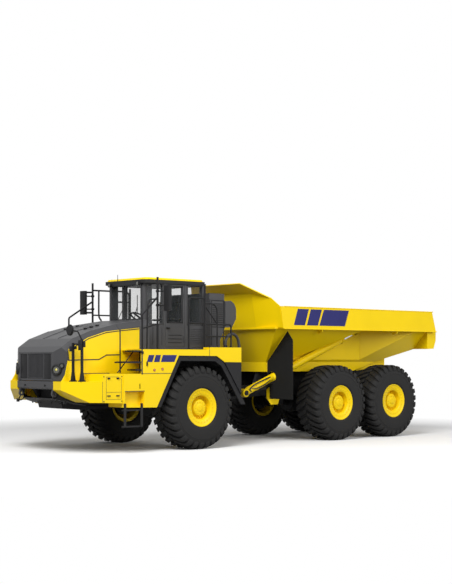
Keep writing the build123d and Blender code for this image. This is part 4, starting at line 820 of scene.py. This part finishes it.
def upright_lip(bm, start, end, low, high, outward):
    """A lip round an upright window that runs from start to end, each forward of the axle and sideways."""
    window_lip(bm, [at(*start, low), at(*end, low), at(*end, high), at(*start, high)], outward)


cab_side = 0.720
taper_start = 0.300
taper_rate = 0.2609


def cab_y(x):
    """The cab's half width at this place forward of the axle, which falls off in front."""
    return cab_side - max(0.0, x - taper_start) * taper_rate


side_sill = 2.640
front_sill = 2.720
window_head = 3.500
taper_facing = Vector((0.120, 0.460, 0.0)).normalized()
bm = bmesh.new()
for way in (1, -1):
    upright_lip(bm, (-0.785, cab_side * way), (-0.360, cab_side * way), side_sill, window_head, (0, way, 0))
    upright_lip(bm, (0.314, cab_y(0.314) * way), (0.690, cab_y(0.690) * way), side_sill, window_head,
                (taper_facing.x, taper_facing.y * way, 0))
upright_lip(bm, (-0.235, -cab_side), (0.215, -cab_side), side_sill, window_head, (0, -1, 0))
upright_lip(bm, (0.760, -0.525), (0.760, 0.525), front_sill, window_head, (1, 0, 0))
upright_lip(bm, (-0.846, -0.620), (-0.846, 0.620), front_sill, window_head, (-1, 0, 0))
# Wipers: where the arm is pivoted and where its blade stands.
for pivot_y, blade_y in ((-0.28, -0.04), (0.30, 0.43)):
    rod(bm, at(0.775, pivot_y, 2.735), at(0.785, blade_y, 3.02), 0.008, 8)
    rod(bm, at(0.785, blade_y, 2.86), at(0.785, blade_y, 3.26), 0.009, 8)
    block(bm, at(0.772, pivot_y, 2.720), (0.030, 0.060, 0.040), 0.006)
settle(bm, "window_gaskets", seal_rubber, "front_unit", join=False)

# The gutter's edge, forward of the axle and half width.
gutter = [(0.812, 0.600), (0.800, 0.690), (0.770, 0.730), (0.725, 0.752), (0.660, 0.758),
          (-0.730, 0.758), (-0.805, 0.752), (-0.850, 0.730), (-0.880, 0.690), (-0.892, 0.600)]
gutter += [(x, -y) for x, y in reversed(gutter)]
bm = bmesh.new()
slab(bm, [at(x, y, 3.508) for x, y in gutter], (0, 0, 0.076))
block(bm, at(0.795, 0, 3.490), (0.050, 1.120, 0.050), 0.010)
settle(bm, "roof_gutter", dark_plastic, "front_unit")

bm = bmesh.new()
lamp_drum = [(-0.050, 0.0), (-0.046, 0.030), (-0.010, 0.046), (0.016, 0.048), (0.018, 0.042), (0.008, 0.040),
             (0.008, 0.0)]
lamp_disc = [(0.013, 0.0), (0.012, 0.020), (0.009, 0.039), (0.004, 0.039), (0.004, 0.0)]
lamp_sides = (-0.48, 0.52)
for y in lamp_sides:
    turned(bm, lamp_drum, at(0.850, y, window_head), ahead, 24)
    rod(bm, at(0.800, y, 3.520), at(0.835, y, window_head), 0.014, 10)
aerial_foot = at(0.790, -0.26, 3.540)
rod(bm, aerial_foot, aerial_foot + Vector((0, 0, 0.180)), 0.006, 8)
rod(bm, aerial_foot, aerial_foot + Vector((0, 0, 0.040)), 0.014, 10)
settle(bm, "roof_lamps", black_paint, "front_unit")
bm = bmesh.new()
for y in lamp_sides:
    turned(bm, lamp_disc, at(0.852, y, window_head), ahead, 24)
settle(bm, "roof_lamp_lenses", lamp_lens, "front_unit")

bm = bmesh.new()
for i in range(9):
    block(bm, at(-0.575, 0.724, 2.235 + i * 0.040), (0.400, 0.012, 0.018), 0.004)
for x in (0.34, 0.44, 0.54, 0.64):
    rod(bm, at(x, cab_y(x) + 0.002, 2.20), at(x, cab_y(x) + 0.002, 2.58), 0.008, 8)
both_sides(bm)
for y in (-0.45, -0.30, -0.15, 0.0, 0.15, 0.30, 0.45):
    rod(bm, at(0.762, y, 2.76), at(0.762, y, 2.68), 0.006, 6)
settle(bm, "cab_pressings", grey_paint, "front_unit", join=False)

bm = bmesh.new()
upright_lip(bm, (-0.215, cab_side), (0.195, cab_side), 2.680, 3.460, (0, 1, 0))
block(bm, at(0.185, 0.738, 2.560), (0.080, 0.014, 0.040), 0.005)
rod(bm, at(0.150, 0.756, 2.560), at(0.220, 0.756, 2.560), 0.009, 10)
for x in (0.155, 0.215):
    rod(bm, at(x, 0.730, 2.560), at(x, 0.756, 2.560), 0.007, 8)
rod(bm, at(0.205, 0.750, 2.72), at(0.205, 0.750, 3.20), 0.009, 10)
for z in (2.72, 3.20):
    rod(bm, at(0.205, 0.722, z), at(0.205, 0.755, z), 0.009, 10)
for z in (2.25, 2.33, 2.41):
    rod(bm, at(-0.20, 0.722, z), at(0.17, 0.722, z), 0.007, 8)
settle(bm, "door_trim", dark_plastic, "cab_door", join=False)


# ---- Driver's seat
# Foam cushions in black cloth on a sprung base: a crowned seat with piped edges, a bolstered back
# and a headrest. The foam is bonded to pans, so the seat stays as one.
def cushion(bm, centre, size, crown, lean=0.0):
    """A closed crowned pad whose sides pull in between its corners, leaning back by an angle."""
    bmesh.ops.create_cube(bm, size=2.0)
    bmesh.ops.subdivide_edges(bm, edges=bm.edges[:], cuts=9, use_grid_fill=True)
    for vert in bm.verts:
        x, y, z = vert.co
        round_x, round_y = (1 - x ** 4), (1 - y ** 4)
        height = z * (0.62 + crown * (round_x * round_y) ** 0.5)
        pull = 0.93 - 0.05 * (1 - abs(z)) - 0.05 * (round_y if abs(x) > abs(y) else round_x)
        channel = 0.07 * (abs(abs(y) - 0.6) < 0.05) * (z > 0.5)
        vert.co = (x * pull * size[0] / 2, y * pull * size[1] / 2, (height - channel) * size[2] / 2)
    turn = Matrix.Translation(centre) @ Matrix.Rotation(lean, 4, "Y")
    bmesh.ops.transform(bm, matrix=turn, verts=bm.verts)


bm = bmesh.new()
cushion(bm, at(-0.310, 0, 2.580), (0.520, 0.500, 0.150), 0.38)
seat_cushion = settle(bm, "seat_cushion", seat_fabric, "front_unit", crease=60)
bm = bmesh.new()
cushion(bm, at(-0.565, 0, 2.885), (0.560, 0.470, 0.140), 0.38, radians(81))
seat_back = settle(bm, "seat_back", seat_fabric, "front_unit", crease=60)
bm = bmesh.new()
cushion(bm, at(-0.625, 0, 3.235), (0.170, 0.280, 0.100), 0.38, radians(81))
head_rest = settle(bm, "head_rest", seat_fabric, "front_unit", crease=60)
for pad in (seat_cushion, seat_back, head_rest):
    shape = pad.modifiers.new("soft_edges", "SUBSURF")
    shape.levels = 1
    shape.render_levels = 1
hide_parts("driver_seat")
bm = bmesh.new()
for y in (-0.07, 0.07):
    rod(bm, at(-0.605, y, 3.10), at(-0.625, y, 3.22), 0.007, 8)
for y in (-0.275, 0.275):
    block(bm, at(-0.36, y, 2.760), (0.340, 0.060, 0.040), 0.012)
    rod(bm, at(-0.50, y, 2.60), at(-0.50, y, 2.75), 0.014, 10)
block(bm, at(-0.310, 0, 2.510), (0.440, 0.440, 0.020), 0.006)
for z in (2.30, 2.36, 2.42, 2.48):
    block(bm, at(-0.330, 0, z), (0.400, 0.440, 0.014), 0.005)
settle(bm, "seat_frame", dark_plastic, "front_unit", join=False)


# ---- Cooling and exhaust fittings
# Grey and black steel behind the cab: framed louvres on the cooler, and bolted ribs on the exhaust's
# heat shield. A big rubber charge-air hose arches over each deck, clamped at both ends.
bm = bmesh.new()
cooler_side = 0.902
for i in range(11):
    block(bm, at(-1.075, 0.905, 2.66 + i * 0.045), (0.300, 0.016, 0.020), 0.004)
for x in (-0.90, -1.25):
    rod(bm, at(x, cooler_side, 2.20), at(x, cooler_side, 3.17), 0.010, 8)
for z in (2.60, 3.18):
    rod(bm, at(-0.90, cooler_side, z), at(-1.25, cooler_side, z), 0.010, 8)
both_sides(bm)
for i in range(14):
    block(bm, at(-1.09, -0.78 + i * 0.12, 3.340), (0.340, 0.040, 0.012), 0.004)
settle(bm, "cooler_louvres", dark_plastic, "front_unit", join=False)

bm = bmesh.new()
hose_line = [
    (-0.950, 1.30, 2.140), (-0.955, 1.30, 2.28), (-1.03, 1.30, 2.40), (-1.18, 1.30, 2.44), (-1.31, 1.30, 2.34),
    (-1.36, 1.30, 2.10), (-1.36, 1.30, 1.86), (-1.32, 1.30, 1.70), (-1.20, 1.28, 1.60), (-0.81, 1.25, 1.54),
]
for way in (1, -1):
    hose(bm, [at(x, y * way, z) for x, y, z in hose_line], 0.032, 16, 7)
settle(bm, "charge_air_hoses", seal_rubber, "front_unit")
bm = bmesh.new()
for way in (1, -1):
    rod(bm, at(-0.95, 1.30 * way, 2.143), at(-0.955, 1.30 * way, 2.19), 0.044, 18)
    rod(bm, at(-1.36, 1.30 * way, 2.02), at(-1.36, 1.30 * way, 1.98), 0.040, 18)
    bracket = [(-1.14, 1.28), (-1.14, 1.43), (-1.36, 1.32), (-1.36, 1.28)]
    slab(bm, [at(x, y * way, 2.00) for x, y in bracket], (0, 0, -0.010))
settle(bm, "hose_clamps", black_paint, "front_unit")

bm = bmesh.new()
for y in (-0.80, -0.40, 0.0, 0.40, 0.80):
    block(bm, at(-1.606, y, 2.87), (0.014, 0.030, 0.160), 0.004)
for y in (0.50, -0.50):
    for z in (2.70, 3.00):
        bolt(bm, at(-1.600, y, z), (-1, 0, 0), 0.012, 0.008)
settle(bm, "exhaust_ribs", grey_paint, "front_unit")


# ---- Hoist cylinders
# Painted barrels with a screwed gland, a steel oil pipe clipped along each, and two hoses round its
# foot. The pins' end caps are bolted to the frame and to the bed.
hoist_y = 0.920
hoist_foot = at(-1.843, 0, 1.133)
hoist_eye = at(-5.458, 0, 2.515)
hoist_way = Vector((-0.93407, 0.0, 0.357091))
hoist_off = Vector((-0.357091, 0.0, -0.93407))
# The barrel's outline as distance along it and radius, then its eye's.
barrel_outline = [
    (0.07, 0.0), (0.07, 0.058), (0.12, 0.080), (0.16, 0.085), (0.360, 0.085), (0.364, 0.091), (0.392, 0.091),
    (0.396, 0.085), (3.380, 0.085), (3.384, 0.096), (3.450, 0.096), (3.458, 0.088), (3.458, 0.0),
]
eye_outline = [(-0.085, 0.0), (-0.085, 0.086), (-0.078, 0.092), (0.078, 0.092), (0.085, 0.086), (0.085, 0.0)]
# The oil pipe's bends: distance along the barrel, and how far off it, as a share of its clips' height.
pipe_bends = [(1.80, 0.70), (1.84, 1.02), (2.00, 1.0), (3.10, 1.0), (3.28, 1.02), (3.32, 0.70)]
# The foot's hoses: radius, then their bends along the barrel, outboard as a share, and below it.
foot_hoses = (
    (0.015, [(0.16, 1.0, 0.03), (0.13, 1.25, -0.04), (0.30, 1.2, -0.08), (0.62, 1.1, -0.075), (0.84, 0.8, -0.05)]),
    (0.013, [(0.20, 1.0, -0.02), (0.34, 1.25, 0.02), (0.60, 1.2, 0.03), (0.80, 1.0, 0.0)]),
)
for way, hand in ((1, "left"), (-1, "right")):
    line = hoist_foot + axle * hoist_y * way
    bm = bmesh.new()
    turned(bm, barrel_outline, line, hoist_way, 40)
    turned(bm, eye_outline, line, axle, 36)
    pipe = hoist_off * -0.088 + axle * 0.050 * way
    hose(bm, [line + hoist_way * along + pipe * share for along, share in pipe_bends], 0.010, 10, 4)
    for along in (2.0, 2.55, 3.1):
        middle = line + hoist_way * along + pipe * 0.95
        rod(bm, middle - hoist_way * 0.016, middle + hoist_way * 0.016, 0.020, 12)
    barrel = settle(bm, f"hoist_cylinder_{hand}", yellow_paint, f"hoist_barrel_{hand}")
    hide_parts(f"hoist_barrel_{hand}")
    bm = bmesh.new()
    out = axle * 0.075 * way
    for radius, bends in foot_hoses:
        hose(bm, [line + hoist_way * along + out * share + hoist_off * drop for along, share, drop in bends],
             radius, 12)
    settle(bm, f"hoist_hoses_{hand}", seal_rubber, f"hoist_barrel_{hand}")
bm = bmesh.new()
bolt(bm, hoist_foot + axle * 1.010, axle, 0.056, 0.012, 24)
bolt(bm, hoist_foot + axle * 0.826, -axle, 0.056, 0.012, 24)
for x in (0.034, -0.034):
    for z in (0.034, -0.034):
        bolt(bm, hoist_foot + Vector((x, 1.022, z)), axle, 0.010, 0.010)
both_sides(bm)
settle(bm, "hoist_foot_caps", black_paint, "rear_unit")
bm = bmesh.new()
bolt(bm, hoist_eye + axle * 1.010, axle, 0.052, 0.010, 24)
for x, z in ((0.030, 0.0), (-0.015, 0.026), (-0.015, -0.026)):
    bolt(bm, hoist_eye + Vector((x, 1.020, z)), axle, 0.009, 0.009)
both_sides(bm)
settle(bm, "hoist_eye_caps", yellow_paint, "dump_bed")


# ---- Mud flaps and rear frame fittings
# Bolts along the rubber flaps' upper edges, bolted caps on the bogie's middle pins, rings and brake
# pipes on the axles, and bezels round the tail lamps. All ride on the rear frame.
bm = bmesh.new()
for y, z in ((1.10, 2.060), (1.22, 2.155), (1.34, 2.250), (1.46, 2.345), (1.55, 2.30)):
    bolt(bm, at(-2.711, y, z), ahead, 0.014, 0.018)
both_sides(bm)
settle(bm, "flap_strips", black_paint, "rear_unit")

bm = bmesh.new()
bogie_mid = at(-5.210, 0.620, 1.070)
turned(bm, [(0.0, 0.0), (0.0, 0.140), (0.016, 0.134), (0.024, 0.120), (0.024, 0.0)], bogie_mid, axle, 36)
cap_bolts = 8
for k in range(cap_bolts):
    turn = Matrix.Rotation(2 * pi * k / cap_bolts, 3, "Y")
    bolt(bm, bogie_mid + turn @ Vector((0, 0.014, 0.108)), axle, 0.010, 0.018)
both_sides(bm)
tube_ring = [(-0.010, 0.100), (-0.010, 0.148), (0.010, 0.148), (0.010, 0.100)]
brake_pipe = [(0.0, 0.25, 1.04), (0.06, 0.40, 1.06), (0.08, 0.62, 1.05), (0.06, 0.90, 1.02)]
for axle_place in (-4.27, -6.15):
    for y in (0.80, 0.88, -0.80, -0.88):
        turned(bm, tube_ring, at(axle_place, y, 0.875), axle, 32)
    for way in (1, -1):
        hose(bm, [at(axle_place + x, y * way, z) for x, y, z in brake_pipe], 0.010, 8)
settle(bm, "bogie_fittings", black_paint, "rear_unit")

bm = bmesh.new()
lamp_low, lamp_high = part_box("tail_lamps")
bezel_x = lamp_low.x + 0.014
lamp_mid_z = (lamp_low.z + lamp_high.z) / 2
for y, side in ((lamp_low.y, -1), (lamp_high.y, 1)):
    for z in (lamp_low.z - 0.006, lamp_high.z + 0.006):
        block(bm, Vector((bezel_x, y - side * 0.110, z)), (0.036, 0.240, 0.014), 0.003)
    for dy in (0.006, -0.226):
        block(bm, Vector((bezel_x, y + side * dy, lamp_mid_z)), (0.036, 0.014, 0.140), 0.003)
settle(bm, "tail_bezels", dark_plastic, "rear_unit")


# ---- Deck treads
# Steel anti-slip plates riveted flat to the decks where the driver walks, on both sides. Rows of
# punched studs stand up from each plate.
stud_pitch = 0.06
tread_plate = 0.004
# Each plate's rear and front edge forward of the axle, its inner and outer edge, and its deck's top.
treads = (
    (1.02, 1.52, 1.00, 1.56, deck_top),
    (-0.20, 0.78, 0.98, 1.24, deck_top),
    (-0.20, 0.78, 1.38, 1.56, deck_top),
    (-1.10, -0.28, 0.98, 1.24, rear_deck_top),
)
bm = bmesh.new()
for x0, x1, y0, y1, z in treads:
    slab(bm, [at(x0, y0, z), at(x1, y0, z), at(x1, y1, z), at(x0, y1, z)], (0, 0, tread_plate))
    for i in range(int((x1 - x0) / stud_pitch)):
        for j in range(int((y1 - y0) / stud_pitch)):
            x, y = x0 + (i + 0.5) * stud_pitch, y0 + (j + 0.5) * stud_pitch
            bolt(bm, at(x, y, z + tread_plate), (0, 0, 1), 0.012, 0.005)
both_sides(bm)
settle(bm, "deck_treads", black_paint, "front_unit", join=False)


# ---- Floor, light and camera
# A pale studio floor that runs out to white, one wide soft light over the front corner and a weak
# fill, and the camera off the truck's front left corner, at the height of its hood.
def rays_in_view(start):
    """1 for rays that the camera sees, straight, mirrored or through glass, and 0 for all others."""
    kinds = ("Is Camera Ray", "Is Glossy Ray", "Is Transmission Ray")
    camera_ray, glossy_ray, glass_ray = (start.add("ShaderNodeLightPath", {}, {}, kind) for kind in kinds)
    return (camera_ray + glossy_ray + glass_ray).held()


ground, place = new_finish("studio_floor")
seen = rays_in_view(place)
spread = place.add("ShaderNodeVectorMath", {"operation": "LENGTH"}, {0: place}, "Value")
fade_start = 7.5
fade_rate = 0.22
far_off = ((spread - fade_start) * fade_rate).held()
floor_shader = place.add("ShaderNodeBsdfPrincipled", {}, {
    "Base Color": place.noise(0.6, 2.0).between((0.90, 0.90, 0.90, 1.0), (0.93, 0.93, 0.93, 1.0)),
    "Roughness": 0.9,
})
white = place.add("ShaderNodeEmission", {}, {"Color": (1.0, 1.0, 1.0, 1.0), "Strength": 1.0})
dull_floor = place.add("ShaderNodeBsdfDiffuse", {}, {"Color": (0.30, 0.30, 0.32, 1.0)})
lit_floor = place.add("ShaderNodeMixShader", {}, {0: seen, 1: dull_floor, 2: floor_shader})
floor_mix = place.add("ShaderNodeMixShader", {}, {0: seen * far_off, 1: lit_floor, 2: white})
place.add("ShaderNodeOutputMaterial", {}, {"Surface": floor_mix})
bm = bmesh.new()
bmesh.ops.create_grid(bm, x_segments=1, y_segments=1, size=90)
mesh = bpy.data.meshes.new("studio_floor")
bm.to_mesh(mesh)
bm.free()
mesh.materials.append(ground)
studio_floor = bpy.data.objects.new("studio_floor", mesh)
bpy.context.scene.collection.objects.link(studio_floor)

world = bpy.data.worlds.new("studio")
world.use_nodes = True
world.node_tree.nodes.clear()
sky = Wire(world.node_tree)
room = sky.add("ShaderNodeBackground", {}, {"Color": (1.0, 1.0, 1.0, 1.0), "Strength": 0.33})
backdrop = sky.add("ShaderNodeBackground", {}, {"Color": (1.0, 1.0, 1.0, 1.0), "Strength": 1.0})
both = sky.add("ShaderNodeMixShader", {}, {0: rays_in_view(sky), 1: room, 2: backdrop})
sky.add("ShaderNodeOutputWorld", {}, {"Surface": both})
bpy.context.scene.world = world

light_size = 9.0
# Each light: name, place, what it points at, power in watts.
for name, spot, target, power in (
    ("key_light", (14.0, 9.0, 15.0), (0.5, 0.0, 1.2), 4100),
    ("fill_light", (-6.0, 17.0, 8.0), (-2.0, 0.0, 1.5), 1500),
):
    light = bpy.data.lights.new(name, "AREA")
    light.size = light_size
    light.energy = power
    lamp = bpy.data.objects.new(name, light)
    lamp.location = spot
    lamp.rotation_euler = (Vector(target) - Vector(spot)).to_track_quat("-Z", "Y").to_euler()
    bpy.context.scene.collection.objects.link(lamp)

camera_data = bpy.data.cameras.new("camera")
camera_data.lens = 74.94
camera_data.sensor_width = 36
camera_data.shift_y = 0.1118
camera_data.clip_end = 500
camera = bpy.data.objects.new("camera", camera_data)
camera.location = at(16.615, 20.985, 1.932)
looking = Vector((-0.6662, -0.7458, 0))
camera.rotation_euler = looking.to_track_quat("-Z", "Y").to_euler()
bpy.context.scene.collection.objects.link(camera)
bpy.context.scene.camera = camera
bpy.context.scene.view_settings.view_transform = "Standard"
